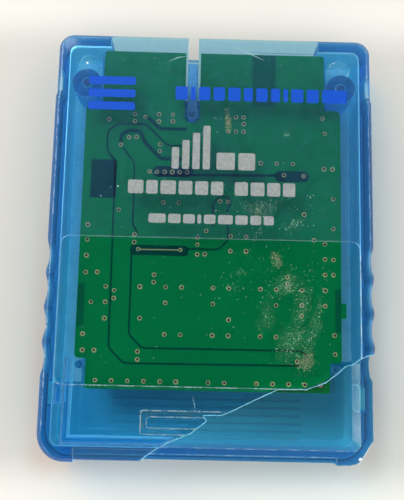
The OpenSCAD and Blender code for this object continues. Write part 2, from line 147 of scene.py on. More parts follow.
@dataclass(frozen=True)
class Frame:
    """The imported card's own sizes, read once from its boxes."""

    low: Vector
    high: Vector
    board_top: float
    board_low: Vector
    label_depth: float = 0.2 * MM
    floor_thick: float = 1.2 * MM

    @classmethod
    def read(cls) -> "Frame":
        """Reads the boxes of the whole card and of its board.

        Returns:
            The card's sizes in metres.
        """
        low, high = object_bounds()
        board_low, board_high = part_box("circuit_board")
        return cls(Vector(low), Vector(high), board_high.z, board_low)

    def at(self, x: float, y: float, z: float) -> Vector:
        """Turns millimetres on the card and a height in metres into a place in the frame."""
        return Vector((x * MM, self.low.y + y * MM, z))

    def outline(self, points: Iterable[Point], z: float) -> list[Vector]:
        """Turns an outline in millimetres into places at one height in metres."""
        return [self.at(x, y, z) for x, y in points]

    def spot(self, place: Vector) -> Point:
        """Turns a place in the frame into millimetres on the card."""
        return (place.x / MM, (place.y - self.low.y) / MM)

    def height(self, level: Level) -> float:
        """Gives the height of one of the card's faces.

        Args:
            level: The face.

        Returns:
            Its height in metres.
        """
        heights = {
            Level.BOARD_TOP: self.board_top,
            Level.PLATE_TOP: self.high.z,
            Level.RECESS: self.high.z - self.label_depth,
            Level.TRAY_FLOOR: self.floor_thick,
        }
        return heights[level]

    def face(self, y: float) -> Level:
        """Tells which level the front face has at a distance from the finger end."""
        return Level.RECESS if y < LABEL_END else Level.PLATE_TOP


class Graph:
    """Short way to build a node tree, for a material or a group."""

    def __init__(self, tree: bpy.types.NodeTree) -> None:
        """Empties the tree and keeps it."""
        self.tree = tree
        tree.nodes.clear()

    def node(self, kind: str, **settings: object) -> bpy.types.Node:
        """Adds a node.

        Args:
            kind: The node's type name, such as ShaderNodeTexNoise.
            **settings: Attributes to set, and inputs as in_NAME with spaces as underscores.

        Returns:
            The new node.
        """
        made = self.tree.nodes.new(kind)
        for name, value in settings.items():
            if name.startswith("in_"):
                made.inputs[name[3:].replace("_", " ")].default_value = value
            else:
                setattr(made, name, value)
        return made

    def link(self, source: Socket, target: Socket) -> None:
        """Joins an output to an input."""
        self.tree.links.new(source, target)

    def feed(self, value: object, target: Socket) -> None:
        """Joins a socket to an input, or writes a plain value on it.

        Args:
            value: A socket, a number or a colour.
            target: The input.
        """
        if isinstance(value, Socket):
            self.link(value, target)
        else:
            target.default_value = value

    def math(self, kind: str, first: object, second: object = None) -> Socket:
        """Adds a Math node.

        Args:
            kind: The operation, such as MULTIPLY.
            first: A socket or a number.
            second: A socket or a number, or None for a one-sided operation.

        Returns:
            The result's socket.
        """
        made = self.node("ShaderNodeMath", operation=kind)
        self.feed(first, made.inputs[0])
        if second is not None:
            self.feed(second, made.inputs[1])
        return made.outputs[0]

    def ramp(self, source: Socket, low: float, high: float,
             out_low: float = 0.0, out_high: float = 1.0) -> Socket:
        """Maps a value smoothly from one range to another.

        Args:
            source: The value to map.
            low: Where the rise starts.
            high: Where the rise ends.
            out_low: Result below the rise.
            out_high: Result above the rise.

        Returns:
            The mapped value's socket.
        """
        made = self.node("ShaderNodeMapRange", interpolation_type="SMOOTHSTEP", clamp=True,
                         in_From_Min=low, in_From_Max=high, in_To_Min=out_low,
                         in_To_Max=out_high)
        self.link(source, made.inputs["Value"])
        return made.outputs["Result"]

    def blend(self, mask: object, first: object, second: object, kind: str = "MIX") -> Socket:
        """Mixes two colours by a mask.

        Args:
            mask: Share of the second colour, a socket or a number.
            first: A colour or a colour socket.
            second: A colour or a colour socket.
            kind: How they mix, such as MULTIPLY.

        Returns:
            The mixed colour's socket.
        """
        made = self.node("ShaderNodeMix", data_type="RGBA", blend_type=kind)
        for index, value in ((0, mask), (6, first), (7, second)):
            self.feed(value, made.inputs[index])
        return made.outputs[2]

    def noise(self, point: Socket, scale: object, detail: float, rough: float = 0.5) -> Socket:
        """Adds a noise.

        Args:
            point: Where it is looked up.
            scale: How fine it is, a socket or a number.
            detail: How many finer layers it has.
            rough: How strong those layers are.

        Returns:
            The noise's value.
        """
        made = self.node("ShaderNodeTexNoise", in_Detail=detail, in_Roughness=rough)
        self.link(point, made.inputs["Vector"])
        self.feed(scale, made.inputs["Scale"])
        return made.outputs[0]

    def turned(self, point: Socket, turn: float, stretch: tuple[float, float, float],
               shift: float = 0.0) -> Socket:
        """Turns, stretches and shifts the point at which a noise is looked up.

        Args:
            point: The point.
            turn: Turn about the upright in radians.
            stretch: Factor along each axis.
            shift: Way to the side, along x and y.

        Returns:
            The new point.
        """
        made = self.node("ShaderNodeMapping", in_Rotation=(0.0, 0.0, turn), in_Scale=stretch,
                         in_Location=(shift, shift, 0.0))
        self.link(point, made.inputs["Vector"])
        return made.outputs[0]

    def bump(self, height: Socket, strength: float, depth: float = 0.02 * MM) -> Socket:
        """Turns a height into a bent normal.

        Args:
            height: The height, from 0 to 1.
            strength: How far the normal bends.
            depth: What a height of 1 stands for, in metres.

        Returns:
            The normal.
        """
        made = self.node("ShaderNodeBump", in_Strength=strength, in_Distance=depth)
        self.link(height, made.inputs["Height"])
        return made.outputs[0]

    def surface(self, sockets: dict[str, Socket], **settings: object) -> Socket:
        """Adds the material's Principled shader.

        Args:
            sockets: What is joined to its inputs, by name.
            **settings: Its plain values, as node() takes them.

        Returns:
            The shader's socket.
        """
        made = self.node("ShaderNodeBsdfPrincipled", **settings)
        for name, source in sockets.items():
            self.link(source, made.inputs[name])
        return made.outputs[0]

    def object_point(self) -> Socket:
        """Gives the point of the surface in the frame, in metres."""
        return self.node("ShaderNodeTexCoord").outputs["Object"]

    def parts(self, vector: Socket) -> bpy.types.NodeOutputs:
        """Splits a vector.

        Args:
            vector: The vector.

        Returns:
            Its three numbers, by the names X, Y and Z.
        """
        made = self.node("ShaderNodeSeparateXYZ")
        self.link(vector, made.inputs[0])
        return made.outputs

    def output(self, surface: Socket, volume: Socket | None = None) -> None:
        """Adds the material's output.

        Args:
            surface: The surface shader.
            volume: The volume shader, if there is one.
        """
        end = self.node("ShaderNodeOutputMaterial")
        self.link(surface, end.inputs["Surface"])
        if volume is not None:
            self.link(volume, end.inputs["Volume"])


def new_group(name: str, inputs: dict[str, float], output: str
              ) -> tuple[bpy.types.NodeTree, Graph, bpy.types.NodeOutputs, Socket]:
    """Starts a shader node group that gives one number.

    Args:
        name: The group's name.
        inputs: Each number input with its first value.
        output: The result's name.

    Returns:
        The group, its graph, its inputs' sockets and the socket that takes the result.
    """
    tree = bpy.data.node_groups.new(name, "ShaderNodeTree")
    graph = Graph(tree)
    for label, value in inputs.items():
        made = tree.interface.new_socket(label, in_out="INPUT", socket_type="NodeSocketFloat")
        made.default_value = value
    tree.interface.new_socket(output, in_out="OUTPUT", socket_type="NodeSocketFloat")
    given = graph.node("NodeGroupInput").outputs
    return tree, graph, given, graph.node("NodeGroupOutput").inputs[output]


class Effects:
    """Shared effects, each a node group that is built once."""

    def __init__(self) -> None:
        """Builds the groups."""
        self.scratches = self._scratches()
        self.grain = self._grain()
        self.mottle = self._mottle()
        self.residue = self._residue()

    @staticmethod
    def _scratches() -> bpy.types.NodeTree:
        """Builds a mask of fine straight scratches that run in three directions.

        Returns:
            The group.
        """
        tree, graph, given, end = new_group(
            "fine_scratches", {"Density": 0.5, "Scale": 300.0}, "Mask")
        point = graph.object_point()
        masks = []
        for turn, stretch, shift in ((0.5, 18.0, 1.7), (-0.9, 14.0, 5.1), (1.4, 24.0, 9.3)):
            turned = graph.turned(point, turn, (1.0, stretch, 1.0), shift)
            noise = graph.noise(turned, given["Scale"], 2.0, 0.6)
            masks.append(graph.ramp(noise, 0.68, 0.76))
        both = graph.math("MAXIMUM", graph.math("MAXIMUM", masks[0], masks[1]), masks[2])
        graph.link(graph.math("MULTIPLY", both, given["Density"]), end)
        return tree

    @staticmethod
    def _grain() -> bpy.types.NodeTree:
        """Builds a fine even grain for moulded and coated surfaces.

        Returns:
            The group.
        """
        tree, graph, given, end = new_group(
            "fine_grain", {"Scale": 2000.0, "Depth": 0.5}, "Height")
        noise = graph.noise(graph.object_point(), given["Scale"], 3.0)
        graph.link(graph.math("MULTIPLY", noise, given["Depth"]), end)
        return tree

    @staticmethod
    def _mottle() -> bpy.types.NodeTree:
        """Builds slow light and dark patches that vary a colour.

        Returns:
            The group.
        """
        tree, graph, given, end = new_group(
            "slow_mottle", {"Scale": 150.0, "Contrast": 0.2}, "Shade")
        noise = graph.noise(graph.object_point(), given["Scale"], 4.0, 0.55)
        swing = graph.math("MULTIPLY", graph.math("SUBTRACT", noise, 0.5), given["Contrast"])
        graph.link(graph.math("ADD", swing, 1.0), end)
        return tree

    @staticmethod
    def _residue() -> bpy.types.NodeTree:
        """Builds a speckled mask for rubbed and sticky patches and for films of painted light and
        shade.

        Returns:
            The group.
        """
        tree, graph, given, end = new_group(
            "rubbed_and_painted_residue", {"Scale": 3500.0, "Cover": 0.5}, "Mask")
        turned = graph.turned(graph.object_point(), 0.5, (1.6, 1.0, 1.0))
        speck = graph.noise(turned, given["Scale"], 4.0, 0.65)
        cloud = graph.noise(turned, 520.0, 3.0)
        level = graph.math("ADD", speck, graph.math("MULTIPLY", cloud, 0.9))
        start = graph.math("SUBTRACT", 1.2, graph.math("MULTIPLY", given["Cover"], 0.5))
        graph.link(graph.ramp(graph.math("SUBTRACT", level, start), 0.0, 0.12), end)
        return tree

    @staticmethod
    def use(graph: Graph, tree: bpy.types.NodeTree, **values: float) -> Socket:
        """Places a group in a material with its own values.

        Args:
            graph: The material's graph.
            tree: The group.
            **values: The group's input values.

        Returns:
            The group's result.
        """
        made = graph.node("ShaderNodeGroup", node_tree=tree)
        for name, value in values.items():
            made.inputs[name.capitalize()].default_value = value
        return made.outputs[0]


def start_material(name: str) -> tuple[Material, Graph]:
    """Starts a material with an empty node tree.

    Args:
        name: The material's name.

    Returns:
        The material and its graph.
    """
    made = bpy.data.materials.new(name)
    made.use_nodes = True
    return made, Graph(made.node_tree)


@dataclass(frozen=True)
class TintedPlastic:
    """Clear blue moulding plastic: polished on flat faces, frosted on its sides."""

    name: str
    body: Colour
    tint: Colour
    density: float
    shade: Colour
    clarity: float
    refraction: float = 1.49
    polish: float = 0.05
    frost: float = 0.5
    scratch_density: float = 0.5
    grooves: float = 1.0
    groove_low: float = 0.1 * MM
    groove_high: float = 0.4 * MM

    def body_colour(self, graph: Graph) -> Socket:
        """Darkens the plastic a little in the grip grooves under the card.

        Args:
            graph: The material's graph.

        Returns:
            The body's colour.
        """
        soft = 0.05 * MM
        z = graph.parts(graph.object_point())["Z"]
        above = graph.ramp(z, self.groove_low, self.groove_low + soft)
        below = graph.ramp(z, self.groove_high - soft, self.groove_high, 1.0, 0.0)
        # darker in the grip grooves under the card
        groove_tone = tuple(part * self.grooves for part in self.body[:3]) + (1.0,)
        return graph.blend(graph.math("MULTIPLY", above, below), self.body, groove_tone)

    def roughness(self, graph: Graph, scratches: Socket) -> Socket:
        """Makes flat faces glossy, upright ones frosted and scratches dull.

        Args:
            graph: The material's graph.
            scratches: The scratches' mask.

        Returns:
            The roughness.
        """
        normal = graph.node("ShaderNodeNewGeometry").outputs["Normal"]
        steep = graph.math("ABSOLUTE", graph.parts(normal)["Z"])
        sides = graph.ramp(steep, 0.4, 0.6, self.frost, self.polish)
        return graph.math("ADD", sides, graph.math("MULTIPLY", scratches, 0.25))

    def material(self, effects: Effects) -> Material:
        """Builds the material.

        Args:
            effects: The shared groups.

        Returns:
            The finished material.
        """
        made, graph = start_material(self.name)
        scratches = effects.use(graph, effects.scratches, density=self.scratch_density,
                                scale=260.0)
        grain = effects.use(graph, effects.grain, scale=900.0, depth=0.4)
        plastic = graph.surface(
            {"Base Color": self.body_colour(graph), "Roughness": self.roughness(graph, scratches),
             "Normal": graph.bump(graph.math("SUBTRACT", grain, scratches), 0.04)},
            in_IOR=self.refraction, in_Transmission_Weight=self.clarity)
        clear = graph.node("ShaderNodeBsdfTransparent", in_Color=self.shade)
        path = graph.node("ShaderNodeLightPath")
        mix = graph.node("ShaderNodeMixShader")
        graph.link(path.outputs["Is Shadow Ray"], mix.inputs[0])
        graph.link(plastic, mix.inputs[1])
        graph.link(clear.outputs[0], mix.inputs[2])
        depth = graph.node("ShaderNodeVolumeAbsorption", in_Color=self.tint,
                           in_Density=self.density)
        graph.output(mix.outputs[0], depth.outputs[0])
        return made


@dataclass(frozen=True)
class Coat:
    """Opaque finish with slow patches of shade, a fine grain and its own gloss."""

    name: str
    colour: Colour
    roughness: float
    metallic: float = 0.0
    contrast: float = 0.15
    patch_scale: float = 200.0
    grain_scale: float = 2500.0
    grain_strength: float = 0.1
    gloss: float = 0.5

    def material(self, effects: Effects) -> Material:
        """Builds the material.

        Args:
            effects: The shared groups.

        Returns:
            The finished material.
        """
        made, graph = start_material(self.name)
        mottle = effects.use(graph, effects.mottle, scale=self.patch_scale,
                             contrast=self.contrast)
        grain = effects.use(graph, effects.grain, scale=self.grain_scale, depth=1.0)
        swing = 0.1
        rough = graph.math("ADD", graph.math("MULTIPLY", grain, swing),
                           self.roughness - swing / 2)
        graph.output(graph.surface(
            {"Base Color": graph.blend(1.0, self.colour, mottle, "MULTIPLY"),
             "Roughness": rough, "Normal": graph.bump(grain, self.grain_strength)},
            in_Metallic=self.metallic, in_Specular_IOR_Level=self.gloss))
        return made


@dataclass(frozen=True)
class Residue:
    """Rubbed patches, dried glue, haze and films of painted light and shade, open between their
    specks.
    """

    name: str
    colour: Colour
    cover: float
    strength: float
    ground: float
    scale: float = 3500.0

    def material(self, effects: Effects) -> Material:
        """Builds the material.

        Args:
            effects: The shared groups.

        Returns:
            The finished material.
        """
        made, graph = start_material(self.name)
        mask = effects.use(graph, effects.residue, scale=self.scale, cover=self.cover)
        edge = graph.node("ShaderNodeAttribute", attribute_name="fade").outputs["Fac"]
        shares = graph.ramp(mask, 0.0, 1.0, self.ground, 1.0)
        alpha = graph.math("MULTIPLY", graph.math("MULTIPLY", shares, edge), self.strength)
        graph.output(graph.surface({"Alpha": alpha}, in_Base_Color=self.colour,
                                   in_Roughness=0.7, in_Specular_IOR_Level=0.2))
        return made


class Piece:
    """Helpers that turn outlines into named pieces that ride on the card."""

    @staticmethod
    def settle(name: str, mesh: bpy.types.Mesh, slot: str) -> bpy.types.Object:
        """Makes an object of a mesh and lets it ride on the card.

        Args:
            name: The piece's name.
            mesh: Its mesh.
            slot: The record's slot it belongs to.

        Returns:
            The new object.
        """
        made = bpy.data.objects.new(name, mesh)
        bpy.context.scene.collection.objects.link(made)
        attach(made, BODY)
        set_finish(made, slot)
        log.info("%s: %d faces", name, len(mesh.polygons))
        return made

    @staticmethod
    def add(name: str, verts: list[Vector], faces: list[Face], material: Material,
            slot: str) -> bpy.types.Object:
        """Makes a piece of points and faces and dresses it.

        Args:
            name: The piece's name.
            verts: Its points.
            faces: Its faces, as point numbers.
            material: Its material.
            slot: The record's slot it belongs to.

        Returns:
            The new object.
        """
        mesh = bpy.data.meshes.new(name)
        mesh.from_pydata([tuple(v) for v in verts], [], faces)
        mesh.validate()
        mesh.materials.append(material)
        return Piece.settle(name, mesh, slot)

    @staticmethod
    def film(name: str, verts: list[Vector], faces: list[Face], shares: list[float],
             material: Material, slot: str) -> None:
        """Makes a piece that stores at each point how much of its film shows there, for wear and for
        painted light and shade.

        Args:
            name: The piece's name.
            verts: Its points.
            faces: Its faces, as point numbers.
            shares: The finish's share at each point.
            material: Its material.
            slot: The record's slot it belongs to.
        """
        made = Piece.add(name, verts, faces, material, slot)
        fade = made.data.attributes.new("fade", "FLOAT", "POINT")
        fade.data.foreach_set("value", shares)

    @staticmethod
    def prisms(name: str, outlines: list[list[Vector]], thick: float, material: Material,
               slot: str) -> None:
        """Makes one piece of several thin plates.

        Args:
            name: The piece's name.
            outlines: Each plate's lower outline, counter-clockwise.
            thick: The plates' thickness in metres.
            material: Their material.
            slot: The record's slot they belong to.
        """
        verts: list[Vector] = []
        faces: list[Face] = []
        lift = Vector((0.0, 0.0, thick))
        for outline in outlines:
            base, count = len(verts), len(outline)
            verts += outline + [v + lift for v in outline]
            faces.append(tuple(base + count + i for i in range(count)))
            faces.append(tuple(base + i for i in reversed(range(count))))
            faces += [(base + i, base + (i + 1) % count, base + count + (i + 1) % count,
                       base + count + i) for i in range(count)]
        Piece.add(name, verts, faces, material, slot)


class Sheet:
    """Skin-thin layer of loose faces, with the finish's share at each corner."""

    def __init__(self) -> None:
        """Starts without a face."""
        self.verts: list[Vector] = []
        self.faces: list[Face] = []
        self.shares: list[float] = []

    def add(self, corners: list[Vector], shares: list[float]) -> None:
        """Adds a face.

        Args:
            corners: Its corners in order.
            shares: The finish's share at each corner.
        """
        first = len(self.verts)
        self.verts += corners
        self.shares += shares
        self.faces.append(tuple(range(first, len(self.verts))))

    def lay(self, name: str, material: Material, slot: str) -> None:
        """Makes one piece of all faces, with its name, material and slot."""
        Piece.film(name, self.verts, self.faces, self.shares, material, slot)


def arc(centre: Point, radius: float, start: float, end: float, steps: int) -> list[Point]:
    """Points along an arc.

    Args:
        centre: The arc's centre.
        radius: Its radius.
        start: First angle in degrees.
        end: Last angle in degrees.
        steps: How many stretches it has.

    Returns:
        The points, both ends included.
    """
    angles = (math.radians(start + (end - start) * i / steps) for i in range(steps + 1))
    return [(centre[0] + radius * math.cos(a), centre[1] + radius * math.sin(a)) for a in angles]


def rounded_bar(x: float, y: float, w: float, h: float, r: float) -> list[Point]:
    """Outline of a rounded rectangle, counter-clockwise.

    Args:
        x: Its left side.
        y: Its lower side.
        w: Its width.
        h: Its height.
        r: Its corner radius.

    Returns:
        The outline's points.
    """
    r = min(r, w / 2, h / 2)
    corners = ((x + w - r, y + r, -90), (x + w - r, y + h - r, 0),
               (x + r, y + h - r, 90), (x + r, y + r, 180))
    return [p for cx, cy, turn in corners for p in arc((cx, cy), r, turn, turn + 90, 5)]


def round_off(points: list[Point], radius: float) -> list[Point]:
    """Rounds the inner corners of an open line.

    Args:
        points: The line's corners.
        radius: Distance from a corner at which the bend starts.

    Returns:
        The line with a short curve in place of each corner.
    """
    result = [points[0]]
    for before, corner, after in zip(points, points[1:], points[2:]):
        here = Vector(corner)
        back = Vector(before) - here
        ahead = Vector(after) - here
        reach = min(radius, back.length / 2, ahead.length / 2)
        first = here + back.normalized() * reach
        last = here + ahead.normalized() * reach
        for t in (0, 1 / 3, 2 / 3, 1):
            spot = first * (1 - t) ** 2 + here * 2 * t * (1 - t) + last * t ** 2
            result.append((spot.x, spot.y))
    result.append(points[-1])
    return result


def ribbon(points: list[Point], widths: list[float]) -> list[Point]:
    """Outline of a line drawn with a pen, counter-clockwise.

    Args:
        points: The line's points.
        widths: The pen's width at each point.

    Returns:
        The outline's points.
    """
    left, right = [], []
    last = len(points) - 1
    for i, spot in enumerate(points):
        before = Vector(points[max(i - 1, 0)])
        after = Vector(points[min(i + 1, last)])
        along = (after - before).normalized()
        side = Vector((-along.y, along.x)) * widths[i] / 2
        left.append((spot[0] + side.x, spot[1] + side.y))
        right.append((spot[0] - side.x, spot[1] - side.y))
    return right + left[::-1]


class Break:
    """The break across the front shell, in millimetres; what lies below its line is lost."""

    line: tuple[Point, ...] = (
        (21.0, 13.9), (20.5, 13.8), (19.3, 13.35), (18.1, 12.5), (17.3, 12.3), (16.2, 11.35),
        (14.7, 10.2), (12.3, 9.35), (8.7, 9.25), (5.8, 7.9), (3.0, 6.5), (1.8, 6.0),
        (-0.5, 5.95), (-0.05, 5.25), (-2.0, 3.75), (-4.1, 2.85), (-5.5, 2.2), (-6.7, 1.45),
        (-7.9, 0.55), (-8.2, 0.3),
    )
    near: float = 0.3
    edge: float = 0.1

    @classmethod
    def stretches(cls) -> Iterable[tuple[Point, Point]]:
        """Gives the two ends of each straight stretch in turn."""
        return zip(cls.line, cls.line[1:])

    @classmethod
    def beside(cls, x: float, y: float) -> bool:
        """Tells whether a place on the plate is close to the break.

        Args:
            x: Millimetres to the right of the middle.
            y: Millimetres from the finger end.

        Returns:
            True within the near distance.
        """
        spot = Vector((x, y))
        for first, second in cls.stretches():
            start, along = Vector(first), Vector(second) - Vector(first)
            share = min(1.0, max(0.0, (spot - start).dot(along) / along.length_squared))
            if (start + along * share - spot).length < cls.near:
                return True
        return False

    @classmethod
    def kept(cls, x: float, y: float) -> bool:
        """Tells whether a place lies on the kept side of the break.

        Args:
            x: Millimetres to the right of the middle.
            y: Millimetres from the finger end.

        Returns:
            True where the front shell is still there.
        """
        for first, second in cls.stretches():
            low, high = sorted((first[0], second[0]))
            if low <= x <= high and high > low:
                share = (x - first[0]) / (second[0] - first[0])
                if y < first[1] + share * (second[1] - first[1]) + cls.edge:
                    return False
        return True


@dataclass
class Shell:
    """The two moulded halves, with their finish, the marks of the moulding and of use, and painted
    light.
    """

    card: Frame
    effects: Effects
    gap: float = 0.03 * MM
    seam: float = 6.0 * MM
    bevel: float = 0.05 * MM
    rounded_from: float = 35.0
    skin: float = 0.01 * MM
    wear_lift: float = 0.008 * MM
    rib_top: float = 6.51 * MM
    wall_face: float = 19.43
    lip_end: float = 2.4
    recess_side: float = 18.9
    recess_ends: Point = (9.2, 28.3)
    covered_x: float = 19.7 * MM
    covered_z: Point = (5.5 * MM, 7.0 * MM)

    def __post_init__(self) -> None:
        """Builds the plastic's materials and those of its pale wear and painted light."""
        effects = self.effects
        self.front = TintedPlastic("front_tinted_plastic", body=(0.52, 0.92, 1.0, 1.0),
                                   tint=(0.25, 0.55, 1.0, 1.0), density=150.0, clarity=1.0,
                                   shade=(0.967, 0.967, 0.963, 1.0)).material(effects)
        self.back = TintedPlastic("back_tinted_plastic", body=(0.41, 0.84, 0.89, 1.0),
                                  tint=(0.14, 0.75, 0.935, 1.0), density=700.0, clarity=0.955,
                                  shade=(0.958, 0.958, 0.953, 1.0), grooves=0.78,
                                  scratch_density=0.3).material(effects)
        self.haze = Residue("worn_haze", srgb(112, 150, 235), cover=0.6, scale=2600.0,
                            strength=0.075, ground=0.7).material(effects)
        # painted light: a pale film that brightens the tray's floor beside the board
        self.painted_floor_light = Residue("painted_floor_light", srgb(234, 222, 225), cover=0.7,
                                   strength=0.55, ground=0.85).material(effects)
        # painted light: a pale film on the key rib, strongest at the open end
        self.rib_light = Residue("painted_rib_light", srgb(170, 195, 220), cover=0.8, strength=0.6,
                             ground=0.8).material(effects)
        # part wear, part painted highlight: a pale line along the upper edges
        self.rub_highlight = Residue("rubbed_edge_highlight", srgb(200, 225, 235), cover=0.55, scale=1800.0,
                           strength=0.75, ground=0.2).material(effects)
        # painted sheen: a pale film standing for light on the right wall's inner face
        self.sheen = Residue("painted_wall_sheen", srgb(205, 225, 235), cover=0.7, strength=0.6,
                             ground=0.8).material(effects)
        # painted glint: a pale film standing for light on the pocket's edge
        self.glint = Residue("painted_pocket_glint", srgb(190, 235, 250), cover=0.8, strength=0.95,
                             ground=0.8).material(effects)

    def build(self, frame: dict) -> None:
        """Makes a softened copy of each half that stands for its solid, and marks it with wear and
        painted light.

        Args:
            frame: The loaded frame.
        """
        front = self.soften(frame["nodes"]["front_shell"], "front_shell_moulding", self.front,
                            "front_plastic", lifted=True)
        back = self.soften(frame["nodes"]["back_shell"], "back_shell_moulding", self.back,
                           "back_plastic", lifted=False)
        self.worn_face(front)
        self.worn_highlit_edges(front, "rubbed_highlit_edges", self.card.high.z - 0.1 * MM)
        self.worn_highlit_edges(back, "rubbed_highlit_rim", self.seam - 0.05 * MM)
        self.rib_light_film()
        self.floor_light_strip()
        self.wall_sheen_film()

    def worn_face(self, half: bpy.types.Object) -> None:
        """Lays a thin haze on the raised face, stronger towards the connector end.

        Args:
            half: The front half's softened copy.
        """
        sheet = Sheet()
        lift = Vector((0.0, 0.0, 0.004 * MM))
        length = self.card.high.y - self.card.low.y
        for side in half.data.polygons:
            if side.normal.z > 0.99 and side.center.z > self.card.high.z - self.skin:
                corners = [half.data.vertices[i].co + lift for i in side.vertices]
                sheet.add(corners, [0.1 + 0.9 * (v.y - self.card.low.y) / length
                                    for v in corners])
        sheet.lay("worn_haze", self.haze, "front_plastic")

    def rib_light_film(self) -> None:
        """Lays painted light on top of the key rib, a pale film that fades away from the connector
        end.
        """
        rows, start, end = 8, 45.2, 51.95
        verts: list[Vector] = []
        for row in range(rows + 1):
            y = start + (end - start) * row / rows
            verts += self.card.outline([(-3.4, y), (-2.3, y)], self.rib_top)
        faces = [(2 * row, 2 * row + 1, 2 * row + 3, 2 * row + 2) for row in range(rows)]
        shares = [0.15 + 0.85 * (i // 2) / rows for i in range(len(verts))]
        Piece.film("rib_light_film", verts, faces, shares, self.rib_light, "back_plastic")

    def floor_light_strip(self) -> None:
        """Lays painted light, a pale film, on the tray's floor between the board and the side walls.
        """
        columns, tones = (14.4, 16.8, 19.0, 19.35), [0.8, 0.8, 0.8, 1.0]
        shoulder, count = 44.0, len(columns)
        z = self.card.height(Level.TRAY_FLOOR) + self.skin
        for side, start in ((-1, 9.4), (1, 12.8)):
            rows = (start, 20.0, 33.0, 44.6, 54.0)
            verts = self.card.outline([(side * x, y) for y in rows for x in columns], z)
            faces = []
            for row in range(len(rows) - 1):
                for column in range(count - 1):
                    if column > 0 or rows[row] > shoulder:
                        first = row * count + column
                        ring = (first, first + 1, first + 1 + count, first + count)
                        faces.append(ring if side > 0 else ring[::-1])
            Piece.film(f"floor_light_strip_{side + 2}", verts, faces, tones * len(rows),
                       self.painted_floor_light, "back_plastic")

    def wall_sheen_film(self) -> None:
        """Lays a painted sheen on the right wall's inner face, and a painted glint on its pocket's
        edge.
        """
        low, high = 1.4, 5.9
        sheet = Sheet()
        for start, end, first, last in ((2.3, 4.5, 0.7, 1.0), (4.5, 6.5, 1.0, 0.5),
                                        (9.9, 12.6, 0.5, 0.9)):
            sheet.add([self.card.at(self.wall_face, y, z * MM)
                       for y, z in ((start, low), (start, high), (end, high), (end, low))],
                      [first, first, last, last])
        sheet.lay("wall_sheen_film", self.sheen, "back_plastic")
        outer = rounded_bar(6.45, 1.55, 3.5, 4.1, 0.85)
        inner = rounded_bar(6.6, 2.05, 3.2, 3.45, 0.7)
        count = len(outer)
        verts = [self.card.at(self.wall_face, y, z * MM) for y, z in outer + inner + inner]
        faces = [(i, (i + 1) % count, count + (i + 1) % count, count + i) for i in range(count)]
        faces.append(tuple(range(2 * count, 3 * count)))
        Piece.film("pocket_edge_glint", verts, faces, [1.0] * (2 * count) + [0.45] * count,
                   self.glint, "back_plastic")

    def edge_share(self, place: Vector) -> float:
        """Tells how strongly an upper edge is rubbed and carries its painted highlight at a place.

        Args:
            place: A point of the edge.

        Returns:
            The share, from 0 to 1.
        """
        x, y = self.card.spot(place)
        low, high = self.recess_ends
        if place.z < self.seam + 0.1 * MM:
            return 0.0 if Break.kept(x, y) else 0.45
        if y < self.lip_end:
            return 0.5
        if abs(x) < WALL_TOP_X and low < y < high:
            if abs(x) > self.recess_side:
                return 1.0 if x > 0 else 0.15
            return 0.6 if y < 10 else 0.18
        if abs(x) > WALL_TOP_X:
            return 0.7 if x > 0 else 0.45
        return 0.35

    def worn_highlit_edges(self, half: bpy.types.Object, name: str, lowest: float) -> None:
        """Runs a thin broken pale line along the upper edges, part wear and part painted highlight.

        Args:
            half: A half's softened copy.
            name: The new piece's name.
            lowest: Edges below this height stay sharp and clean.
        """
        shape = bmesh.new()
        shape.from_mesh(half.data)
        lift = Vector((0.0, 0.0, self.wear_lift))
        sheet = Sheet()
        for line in shape.edges:
            for loop in line.link_loops:
                up = loop.face.normal
                sharpest = 0.1 if abs(loop.vert.co.x) > 19.2 * MM else 0.6
                if (up.z < 0.99 or loop.vert.co.z < lowest or not line.is_convex
                        or line.calc_face_angle(0.0) < sharpest):
                    continue
                start, end = loop.vert.co, loop.link_loop_next.vert.co
                middle = (start + end) / 2
                share = self.edge_share(middle)
                if share and not Break.beside(*self.card.spot(middle)):
                    width = 0.06 if abs(middle.x) > WALL_TOP_X * MM else 0.1
                    inward = up.cross(end - start).normalized() * width * MM
                    sheet.add([start + lift, end + lift, end + inward + lift,
                               start + inward + lift], [share] * 4)
        shape.free()
        sheet.lay(name, self.rub_highlight, half["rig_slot"])

    def covered(self, middle: Vector) -> bool:
        """Tells whether an edge lies inside, just under the kept plate, where it stays sharp.

        Args:
            middle: The edge's middle.

        Returns:
            True if it does.
        """
        low, high = self.covered_z
        return (abs(middle.x) < self.covered_x and low < middle.z < high
                and Break.kept(*self.card.spot(middle)))

    def soften(self, node: bpy.types.Object, name: str, material: Material, slot: str,
               lifted: bool) -> bpy.types.Object:
        """Copies a half, welds it, rounds its edges slightly and opens a hair of air at the seam.

        Args:
            node: The solid's object.
            name: The new piece's name.
            material: Its plastic.
            slot: The record's slot.
            lifted: Whether the faces that rest on the seam are lifted off it by the gap.

        Returns:
            The softened copy.
        """
        mesh = node.data.copy()
        mesh.name = name
        shape = bmesh.new()
        shape.from_mesh(mesh)
        bmesh.ops.remove_doubles(shape, verts=shape.verts, dist=0.5e-6)
        bmesh.ops.dissolve_limit(shape, angle_limit=math.radians(0.5), verts=shape.verts,
                                 edges=shape.edges)
        for vert in shape.verts:
            if lifted and abs(vert.co.z - self.seam) < 1e-6:
                vert.co.z += self.gap
        shape.normal_update()
        weight = shape.edges.layers.float.new("bevel_weight_edge")
        for line in shape.edges:
            if line.calc_face_angle(0.0) > math.radians(self.rounded_from):
                middle = (line.verts[0].co + line.verts[1].co) / 2
                line[weight] = 1.0 if line.is_convex and not self.covered(middle) else 0.0
                line.smooth = False
        for side in shape.faces:
            turns = [line.calc_face_angle(0.0) for line in side.edges if line.smooth]
            side.smooth = any(turn > math.radians(1) for turn in turns)
        shape.to_mesh(mesh)
        shape.free()
        mesh.materials.clear()
        mesh.materials.append(material)
        made = Piece.settle(name, mesh, slot)
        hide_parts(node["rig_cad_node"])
        edge = made.modifiers.new("edge", "BEVEL")
        edge.width = self.bevel
        edge.segments = 2
        edge.limit_method = "WEIGHT"
        return made


